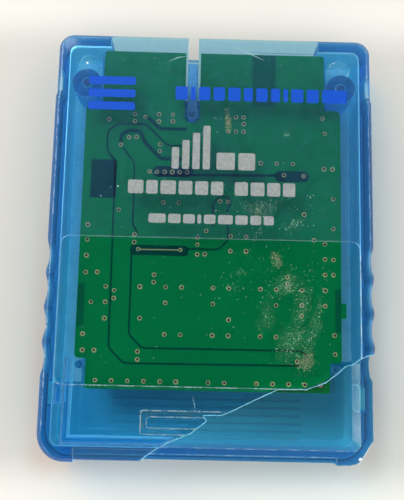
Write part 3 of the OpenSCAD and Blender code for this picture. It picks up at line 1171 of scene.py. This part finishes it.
@dataclass
class BoardFinish:
    """Circuit board: solder mask, copper-free lines and fields, plated holes with painted shade in
    them.
    """

    card: Frame
    effects: Effects
    line_width: float = 0.24
    bend: float = 0.5
    sunk: float = 0.01 * MM
    lift: float = 0.012 * MM

    def __post_init__(self) -> None:
        """Builds the board's materials."""
        effects = self.effects
        self.mask = Coat("solder_mask", (0.0003, 0.166, 0.036, 1.0), roughness=0.25, contrast=0.25,
                         patch_scale=120.0, gloss=0.25).material(effects)
        self.bare = Coat("copper_free_mask", (0.002, 0.045, 0.026, 1.0), roughness=0.25,
                         contrast=0.2, gloss=0.25).material(effects)
        self.thin = Coat("thin_copper_mask", (0.001, 0.095, 0.034, 1.0), roughness=0.25,
                         contrast=0.2, gloss=0.25).material(effects)
        self.cut = Coat("board_cut_edge", srgb(190, 196, 160), roughness=0.7, contrast=0.4,
                        patch_scale=900.0).material(effects)
        self.solder = Coat("hole_solder", srgb(225, 158, 98), roughness=0.5, contrast=0.3,
                           gloss=0.3).material(effects)
        # a darker copy of the ring solder, for rings on the bare board beside the break
        self.darker_solder = Coat("darker_ring_solder", srgb(112, 98, 78), roughness=0.5).material(effects)
        # painted shade: near-black discs for the shade inside the plated holes
        self.hole = Coat("painted_hole_shade", (0.006, 0.008, 0.006, 1.0), roughness=0.8).material(effects)

    def plate(self, name: str, outlines: list[list[Point]], step: int,
              material: Material) -> None:
        """Lays flat shapes on the board.

        Args:
            name: The piece's name.
            outlines: The shapes in millimetres, counter-clockwise.
            step: Which layer above the board it is, from 1.
            material: Its material.
        """
        base = self.card.height(Level.BOARD_TOP) - self.sunk
        sides = [self.card.outline(outline, base) for outline in outlines]
        Piece.prisms(name, sides, self.sunk + self.lift * step, material, "board")

    def pen(self, points: list[Point], width: float) -> list[Point]:
        """Outline of a rounded line of one width."""
        smooth = round_off(points, self.bend)
        return ribbon(smooth, [width] * len(smooth))

    def lines(self) -> None:
        """Draws the copper-free lines that part the copper fields."""
        w = self.line_width
        long_line = [(-12.9, 38.6), (-12.8, 14.0), (-10.8, 12.05), (12.1, 12.2), (12.6, 12.7),
                     (12.55, 13.6), (11.9, 14.1), (-8.5, 14.0), (-10.25, 15.7), (-10.3, 26.2)]
        drawn = [
            (long_line, w),
            ([(-9.1, 44.7), (-8.5, 44.5), (-7.2, 43.15), (-3.5, 43.15)], 0.45),
            ([(-3.5, 40.85), (-6.0, 40.85), (-9.05, 43.75), (-12.6, 43.75), (-14.1, 42.6),
              (-14.05, 39.9), (-13.0, 38.7)], w),
            ([(-3.5, 39.0), (-6.9, 39.0), (-9.2, 41.4), (-9.65, 42.75), (-11.5, 42.75),
              (-12.3, 42.0), (-12.25, 40.9)], 0.5),
            ([(-12.25, 40.8), (-10.4, 38.4), (-10.3, 34.0), (-10.25, 29.9), (-9.6, 29.0)], w),
            ([(-3.1, 26.95), (1.0, 26.95), (2.3, 28.2), (2.05, 32.2), (2.6, 33.2), (2.2, 34.0),
              (0.9, 34.0), (0.2, 33.0), (0.2, 29.9)], w),
            ([(-7.3, 36.8), (8.6, 37.05)], 0.35),
        ]
        self.plate("copper_free_lines", [self.pen(p, width) for p, width in drawn], 1, self.bare)
        fields = [
            rounded_bar(-16.05, 33.5, 3.4, 5.2, 0.05),
            rounded_bar(-10.5, 26.0, 7.6, 1.35, 0.45),
            rounded_bar(8.3, 36.25, 4.6, 1.45, 0.7),
            rounded_bar(-7.9, 36.5, 5.4, 1.5, 0.7),
        ]
        self.plate("copper_free_fields", fields, 1, self.bare)
        faint = [
            rounded_bar(5.2, 46.6, 3.1, 7.25, 0.05),
            rounded_bar(-17.05, 16.5, 0.9, 5.7, 0.4),
            rounded_bar(16.3, 16.5, 0.75, 5.6, 0.05),
        ]
        self.plate("faint_fields", faint, 1, self.thin)
        self.plate("link_track", [self.pen([(-9.4, 26.75), (-3.9, 26.78)], 0.12)], 2, self.solder)

    def hole_places(self) -> list[Point]:
        """Gives the middle of every plated hole, row by row.

        Returns:
            The places in millimetres.
        """
        pitch = 2.05
        rows = [
            (-14.3, 9.85, pitch, (0, 1, 2, 3, 4, 5, 7, 8, 10, 11, 12, 13, 14)),
            (-5.7, 15.8, pitch, (0, 1, 3, 4, 6, 7)),
            (-5.7, 19.85, pitch, (0, 3, 7)),
            (-5.7, 21.9, pitch, (0, 1, 3, 4, 6, 7)),
            (2.6, 26.8, pitch, (0, 1)),
            (2.6, 28.75, pitch, (0, 1)),
            (2.05, 43.0, 1.03, (0, 1, 2)),
            (3.05, 45.0, 1.03, (0, 1)),
            (-8.3, 37.2, 1.0, (0, 1, 2, 3, 4, 5)),
            (6.45, 38.7, 2.15, (0, 1, 2)),
            (14.9, 38.1, 1.12, (0, 1)),
        ]
        places = [(x + i * step, y) for x, y, step, used in rows for i in used]
        columns = [
            (-16.15, 23.6, (0, 2.2, 4.25, 6.25)), (16.1, 23.95, (0, 2.0, 6.1, 10.1)),
            (15.0, 19.9, (0, 2.0, 4.05, 6.1, 8.1)), (-7.27, 22.5, (0, 0.95)),
            (-12.36, 20.3, (0, 1.03)), (-13.45, 17.7, (0, 2.1, 4.1)), (-9.05, 12.55, (0, 1.0)),
            (-10.0, 27.7, (0, 0.97)), (-1.73, 26.25, (0, 1.32, 2.24)), (11.97, 18.6, (0, 1.3, 3.25)),
            (10.1, 22.7, (0, 0.83)), (-7.27, 44.15, (0, 1.0)), (-5.4, 44.2, (0, 0.93)),
            (-10.5, 44.1, (0, 1.0)), (-7.02, 40.05, (0, 0.92)),
        ]
        places += [(x, y + rise) for x, y, rises in columns for rise in rises]
        places += [
            (-9.1, 44.7), (-13.95, 44.3), (14.7, 45.1), (15.0, 43.0), (-10.2, 41.9),
            (-11.2, 41.85), (-12.25, 40.8), (2.0, 44.2), (4.13, 44.06), (9.55, 37.15),
            (12.2, 37.1), (1.15, 33.4), (2.2, 33.35), (-4.3, 33.05), (-6.35, 33.05),
            (-12.2, 31.95), (12.25, 31.9), (-0.6, 29.4), (13.55, 28.5), (-9.45, 26.77),
            (-3.95, 26.8), (-0.75, 26.3), (-14.65, 23.65), (-9.05, 21.85), (-15.3, 19.75),
            (2.5, 17.85), (-8.95, 17.8), (16.2, 16.15), (16.25, 13.75), (11.35, 12.75),
            (-16.15, 15.65), (-16.1, 13.6), (-14.6, 13.6),
        ]
        return places

    def holes(self) -> None:
        """Sets a soldered ring at every place, with a dark disc in it that paints the shade in the
        hole.
        """
        dice = random.Random(7)
        rings, hole_shades, darker_solder = [], [], []
        for x, y in self.hole_places():
            size = dice.uniform(0.27, 0.33)
            # rings beside the break get the darker copy of the solder
            (rings if Break.kept(x, y) else darker_solder).append(arc((x, y), size, 0, 345, 23))
            shift = (x + dice.uniform(-0.04, 0.04), y + dice.uniform(-0.04, 0.04))
            # painted shade inside the hole
            hole_shades.append(arc(shift, dice.uniform(0.14, 0.18), 0, 337.5, 15))
        self.plate("hole_rings", rings, 3, self.solder)
        self.plate("bare_hole_rings", darker_solder, 3, self.darker_solder)
        self.plate("hole_shade_discs", hole_shades, 4, self.hole)

    def build(self, frame: dict) -> None:
        """Dresses the board and lays everything on it.

        Args:
            frame: The loaded frame.
        """
        board = frame["nodes"]["circuit_board"]
        board.data.materials.clear()
        board.data.materials.append(self.mask)
        board.data.materials.append(self.cut)
        for side in board.data.polygons:
            side.material_index = 1 if abs(side.normal.z) < 0.5 else 0
        log.info("circuit_board: %d faces dressed", len(board.data.polygons))
        self.lines()
        self.holes()


@dataclass
class SmallParts:
    """Finishes of what is soldered to the board's underside."""

    effects: Effects

    def __post_init__(self) -> None:
        """Builds one material for each kind of part, named like the record's slot."""
        finishes = (
            Coat("chip_resin", (0.018, 0.018, 0.02, 1.0), roughness=0.55, grain_strength=0.4),
            Coat("tinned_pins", (0.6, 0.6, 0.58, 1.0), roughness=0.35, metallic=1.0),
            Coat("crystal_can", (0.66, 0.65, 0.62, 1.0), roughness=0.3, metallic=1.0),
            Coat("capacitor_resin", (0.6, 0.28, 0.03, 1.0), roughness=0.45),
            Coat("contact_gold", (0.8, 0.52, 0.16, 1.0), roughness=0.28, metallic=1.0,
                 contrast=0.25),
            Coat("capacitor_ceramic", (0.3, 0.2, 0.1, 1.0), roughness=0.4),
            Coat("resistor_film", (0.02, 0.02, 0.024, 1.0), roughness=0.3),
        )
        self.materials = {finish.name: finish.material(self.effects) for finish in finishes}

    def build(self, frame: dict) -> None:
        """Dresses each part by the record's slot of its node.

        Args:
            frame: The loaded frame.
        """
        for entry in frame["record"]["subparts"]:
            material = self.materials.get(entry["material_slot"])
            if material is not None:
                part = frame["nodes"][entry["node"]]
                part.data.materials.clear()
                part.data.materials.append(material)
                log.info("%s: dressed as %s", entry["node"], material.name)


@dataclass
class Print:
    """Ink on the front face: plain fields and bars in place of any wording."""

    card: Frame
    effects: Effects
    thick: float = 0.015 * MM
    corner: float = 0.25

    def __post_init__(self) -> None:
        """Mixes the two inks."""
        effects = self.effects
        self.blue = Coat("blue_ink", srgb(15, 76, 188), roughness=0.5, gloss=0.15,
                         contrast=0.25, patch_scale=1500.0).material(effects)
        self.silver = Coat("silver_ink", srgb(142, 149, 148), roughness=0.45, gloss=0.3,
                           contrast=0.9, patch_scale=2600.0, grain_strength=0.6).material(effects)

    def lay(self, name: str, bars: list[Bar], material: Material) -> None:
        """Prints bars on the plate.

        Args:
            name: The piece's name.
            bars: Each bar's left side, lower side, width, height and corner radius.
            material: The ink.
        """
        base = self.card.height(Level.PLATE_TOP)
        outlines = [self.card.outline(rounded_bar(*bar), base) for bar in bars]
        Piece.prisms(name, outlines, self.thick, material, "front_plastic")

    def run(self, x: float, y: float, h: float, widths: tuple[float, ...],
            gap: float) -> list[Bar]:
        """Sets bars of one height side by side.

        Args:
            x: Left side of the first.
            y: Lower side of all.
            h: Their height.
            widths: Each bar's width.
            gap: Space between two bars.

        Returns:
            The bars for lay().
        """
        bars = []
        for width in widths:
            bars.append((x, y, width, h, self.corner))
            x += width + gap
        return bars

    def build(self) -> None:
        """Prints everything."""
        field_bars = [(-16.6, 45.0 + 1.75 * row, 6.2, 1.1, 0.3) for row in range(3)]
        self.lay("blue_field", field_bars, self.blue)
        line = (1.6, 0.6, 1.5, 1.5, 1.6, 1.2, 1.5, 1.2, 0.6, 1.6, 1.6, 3.2)
        self.lay("blue_bars", self.run(-5.1, 46.6, 1.85, line, 0.45), self.blue)
        rising = [(-5.35 + 1.35 * i, 37.2, 0.95, 2.9 + i, 0.2) for i in range(4)]
        self.lay("silver_field", rising, self.silver)
        self.lay("silver_pair", self.run(0.5, 37.2, 2.3, (2.4, 2.2), 0.45), self.silver)
        first = self.run(-10.9, 33.8, 1.8, (2.0, 1.5, 2.0, 1.8, 1.7, 1.6), 0.35)
        second = self.run(2.95, 33.8, 1.8, (1.7, 1.8, 1.7, 1.6), 0.35)
        self.lay("silver_bars", first + second, self.silver)
        thin = (2.2, 1.6, 1.5, 0.5, 1.5, 1.9, 1.6, 1.4, 1.3)
        self.lay("silver_thin_bars", self.run(-8.1, 30.0, 1.2, thin, 0.33), self.silver)


@dataclass
class Wear:
    """Scuffs, dried glue, scratches and dust on the front face, the raw break, painted shade on the
    board, in the boss holes and along the board's top edge, and a darker film on the finger lip.
    """

    card: Frame
    effects: Effects
    fleck_thick: float = 0.012 * MM
    dust_thick: float = 0.02 * MM
    line_thick: float = 0.008 * MM
    skin: float = 0.012 * MM
    lip_depth: float = 1.1 * MM
    frame_line: float = 0.14
    seam: float = 6.0 * MM
    boss_top: float = 6.52 * MM
    plate_side: float = 18.8

    def __post_init__(self) -> None:
        """Builds the materials of wear, of painted shade and of the darker lip film."""
        effects = self.effects
        self.scuff = Residue("pale_scuff", srgb(150, 190, 165), cover=0.7, scale=5200.0,
                             strength=0.05, ground=0.3).material(effects)
        self.glue = Residue("dried_glue", srgb(140, 150, 118), cover=0.7, scale=4200.0,
                            strength=0.3, ground=0.2).material(effects)
        self.pale_haze = Residue("corner_haze", srgb(130, 190, 228), cover=0.6,
                                 strength=0.16, ground=0.8).material(effects)
        # a dark film that darkens the finger lip
        self.lip_darkening = Residue("lip_darkening", srgb(34, 80, 116), cover=0.78, scale=2600.0,
                                strength=0.6, ground=0.85).material(effects)
        # painted shadow of the broken edge on the bare board
        self.break_shadow = Residue("painted_break_shadow", srgb(6, 34, 8), cover=0.8, strength=0.8,
                            ground=0.9).material(effects)
        self.fleck = Coat("pale_flecks", srgb(128, 176, 142), roughness=0.7, contrast=1.6,
                          patch_scale=1200.0).material(effects)
        self.glue_fleck = Coat("glue_flecks", srgb(140, 146, 112), roughness=0.7, contrast=1.4,
                               patch_scale=1200.0).material(effects)
        # painted shade: a dark disc for the shaded hole in each boss
        self.boss_shade = Coat("boss_hole_shade", srgb(46, 88, 124), roughness=0.8).material(effects)
        # painted shade: a dark line over the board's top edge
        self.line = Coat("painted_board_edge_shade", srgb(78, 132, 160), roughness=0.6).material(effects)
        self.groove = Residue("engraved_line", srgb(150, 170, 168), cover=0.62, scale=1800.0,
                              strength=0.7, ground=0.3).material(effects)
        self.scratch = Coat("pale_scratch", srgb(170, 205, 210), roughness=0.6).material(effects)
        self.white = Coat("bright_wear", srgb(225, 235, 238), roughness=0.6).material(effects)
        self.raw = Coat("raw_break", srgb(120, 195, 220), roughness=0.45, contrast=0.9,
                        patch_scale=1500.0, grain_strength=0.6).material(effects)

    def flecks(self, name: str, clusters: list[tuple[Point, Point, float, int]],
               material: Material, seed: int) -> None:
        """Scatters tiny flakes in clusters that thin out from their middle.

        Args:
            name: The piece's name.
            clusters: Each cluster's middle and spread in millimetres, turn and flake count.
            material: The flakes' material.
            seed: First value of the random row.
        """
        dice = random.Random(seed)
        outlines = []
        for middle, spread, turn, count in clusters:
            lean = math.radians(turn)
            for _ in range(count):
                u, v = dice.gauss(0, spread[0]), dice.gauss(0, spread[1])
                x = middle[0] + u * math.cos(lean) - v * math.sin(lean)
                y = middle[1] + u * math.sin(lean) + v * math.cos(lean)
                step = LABEL_END < y < LABEL_END + 0.2
                if abs(x) > self.plate_side or step or not Break.kept(x, y):
                    continue
                size = min(0.02 + dice.expovariate(60), 0.1)
                start = dice.uniform(0, 360)
                outlines.append(self.card.outline(arc((x, y), size, start, start + 270, 3),
                                                  self.card.height(self.card.face(y))))
        Piece.prisms(name, outlines, self.fleck_thick, material, "front_plastic")

    def corner_marks(self) -> None:
        """Adds the ejector discs, the painted shade in the boss holes, specks, a darker film on the
        finger lip, a painted shade line over the board's top edge and the chipped corner.
        """
        top = self.card.high.z
        for side, disc_x in ((-1, -16.96), (1, 16.5)):
            self.patch(f"ejector_disc_{side + 2}", (disc_x, 51.4), (1.3, 1.3), 0,
                       Level.PLATE_TOP, self.pale_haze)
            # painted shade: a dark disc where each boss hole lies in shade
            boss = arc((side * 17.0, 49.0), 0.55, 0, 345, 23)
            Piece.prisms(f"boss_hole_shade_{side + 2}", [self.card.outline(boss, self.boss_top)],
                         0.02 * MM, self.boss_shade, "back_plastic")
        spots = [(-16.96, 51.4, 0.14), (-12.21, 34.7, 0.08), (-14.35, 33.35, 0.06),
                 (15.9, 52.2, 0.07)]
        outlines = [self.card.outline(arc((x, y), r, 0, 330, 11), top) for x, y, r in spots]
        Piece.prisms("bright_specks", outlines, 0.014 * MM, self.white, "front_plastic")
        # a darker film over the finger lip
        lip = self.card.outline([(-16.6, 0.45), (-8.5, 0.45), (-6.1, 1.95), (-16.6, 1.95)],
                                top + 0.01 * MM)
        Piece.film("lip_darkening", lip, [(0, 1, 2, 3)], [1.0] * 4, self.lip_darkening, "front_plastic")
        # painted shade: a dark line seen over the board's top edge
        shade_line = ribbon([(4.5, 53.5), (6.0, 53.42), (11.0, 53.4), (13.4, 53.42)],
                       [0.02, 0.1, 0.12, 0.03])
        Piece.prisms("board_edge_shade_line", [self.card.outline(shade_line, top)], self.line_thick, self.line,
                     "front_plastic")
        chip = [(19.05, 0.72), (19.3, 0.66), (19.52, 0.86), (19.42, 1.08), (19.2, 1.02)]
        line = ribbon([(19.02, 0.1), (19.9, 1.4), (20.8, 2.85)], [0.03, 0.07, 0.03])
        Piece.prisms("chipped_corner",
                     [self.card.outline(shape, self.seam) for shape in (chip, line)], 0.01 * MM,
                     self.white, "back_plastic")

    def paint_break_shadow(self) -> None:
        """Paints the shadow of the broken front shell on the bare strip of the board just outside
        the break.
        """
        edge = self.card.spot(self.card.board_low)[1] + 0.04
        spots = [(7.6, 8.75), (8.7, 9.25), (12.3, 9.35), (14.7, 10.2), (16.2, 11.35)]
        verts = self.card.outline([(x, end) for x, y in spots for end in (edge, max(y, edge))],
                                  self.card.board_top + 0.02 * MM)
        faces = [(2 * i, 2 * i + 2, 2 * i + 3, 2 * i + 1) for i in range(len(spots) - 1)]
        shares = [0.35, 1.0, 0.5, 1.0, 0.4, 1.0, 0.2, 0.9, 0.1, 0.5]
        Piece.film("break_shadow_film", verts, faces, shares, self.break_shadow, "board")

    def engraved(self) -> None:
        """Cuts a plain double frame where a name was engraved; the break takes its end."""
        z = self.card.height(Level.PLATE_TOP) + self.skin
        pieces = 60
        sheet = Sheet()

        def ring(inset: float, corner: float) -> list[Vector]:
            """Gives the frame's outline, drawn in by an inset."""
            return [Vector(spot) for spot in rounded_bar(
                -8.3 + inset, 3.5 + inset, 12 - 2 * inset, 3 - 2 * inset, corner)]

        for inset in (0.0, 0.75):
            outer, inner = ring(inset, 0.35), ring(inset + self.frame_line, 0.25)
            for i, (out_a, in_a) in enumerate(zip(outer, inner)):
                j = (i + 1) % len(outer)
                for part in range(pieces):
                    a, b = part / pieces, (part + 1) / pieces
                    spots = [out_a.lerp(outer[j], a), out_a.lerp(outer[j], b),
                             in_a.lerp(inner[j], b), in_a.lerp(inner[j], a)]
                    if all(Break.kept(*spot) for spot in spots):
                        sheet.add(self.card.outline(spots, z), [1.0] * 4)
        sheet.lay("engraved_frame", self.groove, "front_plastic")

    def patch(self, name: str, middle: Point, size: Point, turn: float, level: Level,
              material: Material) -> None:
        """Lays a scuffed patch that fades to its edge.

        Args:
            name: The piece's name.
            middle: Its centre in millimetres.
            size: Its half axes in millimetres.
            turn: Its turn in degrees.
            level: The face it lies on.
            material: The patch's material.
        """
        rings, around = 6, 28
        z = self.card.height(level) + self.skin
        verts, fades = [self.card.at(*middle, z)], [1.0]
        lean = math.radians(turn)
        for ring in range(1, rings + 1):
            share = ring / rings
            for step in range(around):
                angle = 2 * math.pi * step / around
                wave = 1 + 0.18 * math.sin(3 * angle + middle[0]) + 0.1 * math.sin(7 * angle)
                u, v = (size[0] * share * wave * math.cos(angle),
                        size[1] * share * wave * math.sin(angle))
                x = middle[0] + u * math.cos(lean) - v * math.sin(lean)
                y = middle[1] + u * math.sin(lean) + v * math.cos(lean)
                verts.append(self.card.at(x, y, z))
                fades.append(max(0.0, 1 - share ** 2))
        faces = [(0, 1 + i, 1 + (i + 1) % around) for i in range(around)]
        for ring in range(rings - 1):
            first = 1 + ring * around
            for i in range(around):
                j = (i + 1) % around
                faces.append((first + i, first + around + i, first + around + j, first + j))
        Piece.film(name, verts, faces, fades, material, "front_plastic")

    def scratches(self) -> None:
        """Draws the few scratches that stand out, and short random ones."""
        z = self.card.height(Level.PLATE_TOP)
        drawn = [
            ([(1.9, 54.5), (4.6, 53.3), (6.6, 52.4)], 0.09),
            ([(-6.2, 51.9), (-4.9, 52.5), (-3.8, 52.7)], 0.08),
            ([(15.2, 51.3), (15.5, 52.0), (15.8, 52.3)], 0.07),
            ([(17.5, 50.3), (17.8, 50.7), (18.0, 51.4)], 0.06),
            ([(-1.9, 8.4), (-1.6, 7.2), (-1.5, 6.5)], 0.04),
        ]
        dice = random.Random(11)
        for _ in range(12):
            x, y = dice.uniform(-17, 17), dice.uniform(29, 52)
            lean, length = dice.uniform(-0.9, 0.9), dice.uniform(0.3, 0.9)
            end = (x + length * math.cos(lean), y + length * math.sin(lean))
            middle = ((x + end[0]) / 2 + 0.03, (y + end[1]) / 2 - 0.03)
            drawn.append(([(x, y), middle, end], 0.025))
        outlines = []
        for points, width in drawn:
            pen = [width * 0.15] + [width] * (len(points) - 2) + [width * 0.15]
            outlines.append(self.card.outline(ribbon(points, pen), z))
        Piece.prisms("face_scratches", outlines, self.line_thick, self.scratch, "front_plastic")

    def dust(self) -> None:
        """Scatters small pale specks."""
        dice = random.Random(5)
        outlines = []
        places = [(dice.uniform(-19, 19), dice.uniform(10, 54)) for _ in range(60)]
        for x, y in places:
            outlines.append(self.card.outline(arc((x, y), dice.uniform(0.02, 0.05), 0, 300, 5),
                                              self.card.height(self.card.face(y))))
        Piece.prisms("dust_specks", outlines, self.dust_thick, self.scratch, "front_plastic")

    def broken_edge(self) -> None:
        """Runs a rough pale lip along the break."""
        dice = random.Random(3)
        fine: list[Point] = []
        for first, second in Break.stretches():
            steps = max(2, int(math.dist(first, second) / 0.25))
            for i in range(steps):
                t = i / steps
                fine.append((first[0] + (second[0] - first[0]) * t + dice.uniform(-0.03, 0.03),
                             first[1] + (second[1] - first[1]) * t + dice.uniform(-0.03, 0.03)))
        top = self.card.height(Level.PLATE_TOP)
        recess = self.card.height(Level.RECESS)
        verts: list[Vector] = []
        faces: list[Face] = []
        for i, (x, y) in enumerate(fine):
            before, after = fine[max(i - 1, 0)], fine[min(i + 1, len(fine) - 1)]
            along = (Vector(after) - Vector(before)).normalized()
            inward = Vector((along.y, -along.x))
            high = recess if 9.4 < y and x < 19.15 else top
            width = dice.uniform(0.03, 0.11)
            verts += [self.card.at(x + inward.x * width, y + inward.y * width, high + 0.01 * MM),
                      self.card.at(x, y, high + 0.005 * MM),
                      self.card.at(x - inward.x * 0.03, y - inward.y * 0.03, high - self.lip_depth)]
        for i in range(len(fine) - 1):
            a, b = 3 * i, 3 * i + 3
            faces += [(a, b, b + 1, a + 1), (a + 1, b + 1, b + 2, a + 2)]
        Piece.add("break_lip", verts, faces, self.raw, "front_plastic")

    def build(self) -> None:
        """Adds all wear."""
        clusters = [
            ((9.8, 22.4), (0.8, 0.6), 30, 200), ((11.8, 19.6), (1.9, 0.5), 78, 190),
            ((10.4, 15.2), (1.2, 0.8), 60, 330), ((13.2, 16.6), (2.4, 0.4), 74, 210),
            ((12.2, 12.4), (1.0, 0.7), 30, 70), ((3.8, 23.8), (0.5, 0.4), 0, 40),
            ((7.4, 18.6), (1.3, 0.4), 80, 60), ((6.3, 32.3), (1.2, 0.5), 15, 150),
            ((10.7, 30.2), (0.8, 0.5), 30, 120), ((9.6, 42.2), (0.25, 0.25), 0, 40),
            ((6.0, 28.9), (1.0, 0.25), 60, 40), ((2.6, 22.0), (0.7, 0.6), 0, 30),
            ((9.0, 24.0), (4.5, 4.0), 0, 220), ((8.0, 33.0), (5.0, 1.5), 0, 120),
            ((-4.0, 24.0), (7.5, 7.0), 0, 90), ((-8.0, 36.0), (6.0, 6.0), 0, 60),
        ]
        self.flecks("scuff_flecks", clusters, self.fleck, 21)
        glue = [((8.35, 25.9), (0.3, 0.35), 0, 90), ((8.75, 25.1), (0.25, 0.3), 0, 70),
                ((12.2, 12.9), (0.6, 0.45), 40, 190), ((1.9, 43.8), (0.22, 0.8), 5, 170),
                ((9.9, 22.0), (0.3, 0.3), 0, 50), ((6.0, 31.6), (0.3, 0.3), 0, 50),
                ((-6.6, 6.1), (0.8, 0.12), 0, 50), ((-7.95, 5.0), (0.12, 0.6), 0, 40),
                ((-5.6, 3.9), (1.0, 0.12), 0, 50), ((-2.6, 6.1), (0.9, 0.12), 0, 40)]
        self.flecks("glue_flecks", glue, self.glue_fleck, 22)
        spots = [
            ((9.8, 22.5), (2.4, 1.7), 30), ((11.6, 19.6), (3.6, 1.4), 75),
            ((10.2, 15.2), (3.0, 2.0), 60), ((13.0, 16.8), (4.6, 1.0), 72),
            ((7.2, 18.2), (2.4, 1.3), 80), ((6.5, 32.2), (2.8, 1.7), 10),
        ]
        patches = [(f"scuff_{i + 1}", middle, size, turn,
                    self.card.face(middle[1]), self.scuff)
                   for i, (middle, size, turn) in enumerate(spots)]
        patches += [
            ("glue_1", (8.4, 25.6), (0.7, 1.2), 20, Level.RECESS, self.glue),
            ("glue_2", (12.2, 12.9), (1.4, 1.0), 40, Level.RECESS, self.glue),
            ("glue_3", (1.9, 43.8), (0.45, 1.5), 5, Level.PLATE_TOP, self.glue),
        ]
        for entry in patches:
            self.patch(*entry)
        self.scratches()
        self.dust()
        self.engraved()
        self.paint_break_shadow()
        self.corner_marks()
        self.broken_edge()


@dataclass
class Studio:
    """Pale floor, soft lamp, sky and camera."""

    card: Frame
    effects: Effects
    floor_colour: Colour = srgb(212, 209, 202)
    shaded_colour: Colour = srgb(206, 190, 178)
    floor_half: float = 3.0
    lens: float = 46.8
    sky: float = 1.35
    dark_side: tuple[float, float, float] = (0.0, 0.12, 1.0)
    lamp_place: tuple[float, float, float] = (-0.35, 0.42, 0.5)
    lamp_size: float = 0.4
    lamp_power: float = 2.4
    camera_place: tuple[float, float, float] = (-1.72, -13.20, 90.03)
    camera_turn: tuple[float, float, float] = (8.313, -0.607, 1.305)

    def floor(self) -> None:
        """Lays the floor just under the card."""
        mesh = bpy.data.meshes.new("floor")
        half, z = self.floor_half, self.card.low.z - 0.02 * MM
        mesh.from_pydata([(-half, -half, z), (half, -half, z), (half, half, z), (-half, half, z)],
                         [], [(0, 1, 2, 3)])
        made = bpy.data.objects.new("floor", mesh)
        bpy.context.scene.collection.objects.link(made)
        mesh.materials.append(self.paper())
        made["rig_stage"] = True

    def beyond_card(self, graph: Graph, place: bpy.types.NodeOutputs) -> Socket:
        """Gives how far a point of the floor lies outside the card's outline.

        Args:
            graph: The floor's graph.
            place: The point's three numbers.

        Returns:
            The distance in metres, 0 under the card.
        """
        squares = []
        for axis, half in (("X", self.card.high.x), ("Y", self.card.high.y)):
            out = graph.math("SUBTRACT", graph.math("ABSOLUTE", place[axis]), half)
            out = graph.math("MAXIMUM", out, 0.0)
            squares.append(graph.math("MULTIPLY", out, out))
        return graph.math("SQRT", graph.math("ADD", squares[0], squares[1]))

    def paper(self) -> Material:
        """Builds the floor's pale finish, a little brighter beyond the card's two ends, with a
        painted warm shadow close to the card that is strongest at its lower end.

        Returns:
            The finished material.
        """
        made, graph = start_material("floor_paper")
        place = graph.parts(graph.object_point())
        distance = self.beyond_card(graph, place)
        close = graph.ramp(distance, 8 * MM, 45 * MM, 1.0, 0.0)
        beyond = graph.ramp(place["Y"], 28 * MM, 36 * MM, -0.12, 0.14)
        before = graph.ramp(place["Y"], -34 * MM, -27 * MM, 0.3, 0.0)
        mottle = self.effects.use(graph, self.effects.mottle, scale=20.0, contrast=0.03)
        level = graph.math("MULTIPLY", graph.math("ADD", beyond, before), close)
        level = graph.math("MULTIPLY", graph.math("ADD", level, 1.06), mottle)
        # painted shadow: a warm darker halo close to the card, fading towards its upper end
        halo = graph.math("MULTIPLY", graph.ramp(distance, 0.0, 0.4 * MM),
                          graph.ramp(distance, 0.5 * MM, 4.5 * MM, 1.0, 0.0))
        shaded = graph.math("MULTIPLY", halo,
                            graph.ramp(place["Y"], -15 * MM, 25 * MM, 1.0, 0.0))
        shadowed_floor = graph.blend(shaded, self.floor_colour, self.shaded_colour)
        tone = graph.blend(1.0, shadowed_floor, level, "MULTIPLY")
        graph.output(graph.surface({"Base Color": tone}, in_Roughness=0.8))
        return made

    def lamp(self) -> None:
        """Adds a square soft lamp that looks at the card."""
        light = bpy.data.lights.new("key", "AREA")
        light.size = self.lamp_size
        light.energy = self.lamp_power
        made = bpy.data.objects.new("key", light)
        made.location = self.lamp_place
        made.rotation_euler = Vector(self.lamp_place).to_track_quat("Z", "Y").to_euler()
        bpy.context.scene.collection.objects.link(made)

    def camera(self) -> None:
        """Sets the camera where the photograph was taken from."""
        lens = bpy.data.cameras.new("camera")
        lens.lens = self.lens
        lens.sensor_width = 36.0
        lens.clip_start = 0.001
        made = bpy.data.objects.new("camera", lens)
        rx, ry, rz = (math.radians(a) for a in self.camera_turn)
        turn = (Matrix.Rotation(rz, 4, "Z") @ Matrix.Rotation(ry, 4, "Y")
                @ Matrix.Rotation(rx, 4, "X"))
        made.matrix_world = Matrix.Translation(Vector(self.camera_place) * MM) @ turn
        bpy.context.scene.collection.objects.link(made)
        bpy.context.scene.camera = made

    def world(self) -> None:
        """Fills in softly from all sides and leaves it dark overhead, where the camera is."""
        made = bpy.data.worlds.new("studio")
        made.use_nodes = True
        graph = Graph(made.node_tree)
        towards = graph.node("ShaderNodeVectorMath", operation="DOT_PRODUCT")
        graph.link(graph.node("ShaderNodeTexCoord").outputs["Generated"], towards.inputs[0])
        towards.inputs[1].default_value = Vector(self.dark_side).normalized()
        level = graph.ramp(towards.outputs["Value"], 0.8, 0.92, self.sky, 0.0)
        back = graph.node("ShaderNodeBackground", in_Color=(0.99, 0.99, 0.98, 1.0))
        graph.link(level, back.inputs["Strength"])
        graph.link(back.outputs[0], graph.node("ShaderNodeOutputWorld").inputs["Surface"])
        bpy.context.scene.world = made

    def build(self) -> None:
        """Sets the whole stage."""
        bpy.context.scene.view_settings.view_transform = "Standard"
        self.floor()
        self.lamp()
        self.world()
        self.camera()


def main() -> None:
    """Builds every part of the card's looks, in order."""
    logging.basicConfig(level=logging.INFO, format="%(name)s: %(message)s")
    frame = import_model()
    card = Frame.read()
    effects = Effects()
    Studio(card, effects).build()
    Shell(card, effects).build(frame)
    BoardFinish(card, effects).build(frame)
    SmallParts(effects).build(frame)
    Print(card, effects).build()
    Wear(card, effects).build()


if __name__ == "__main__":
    main()
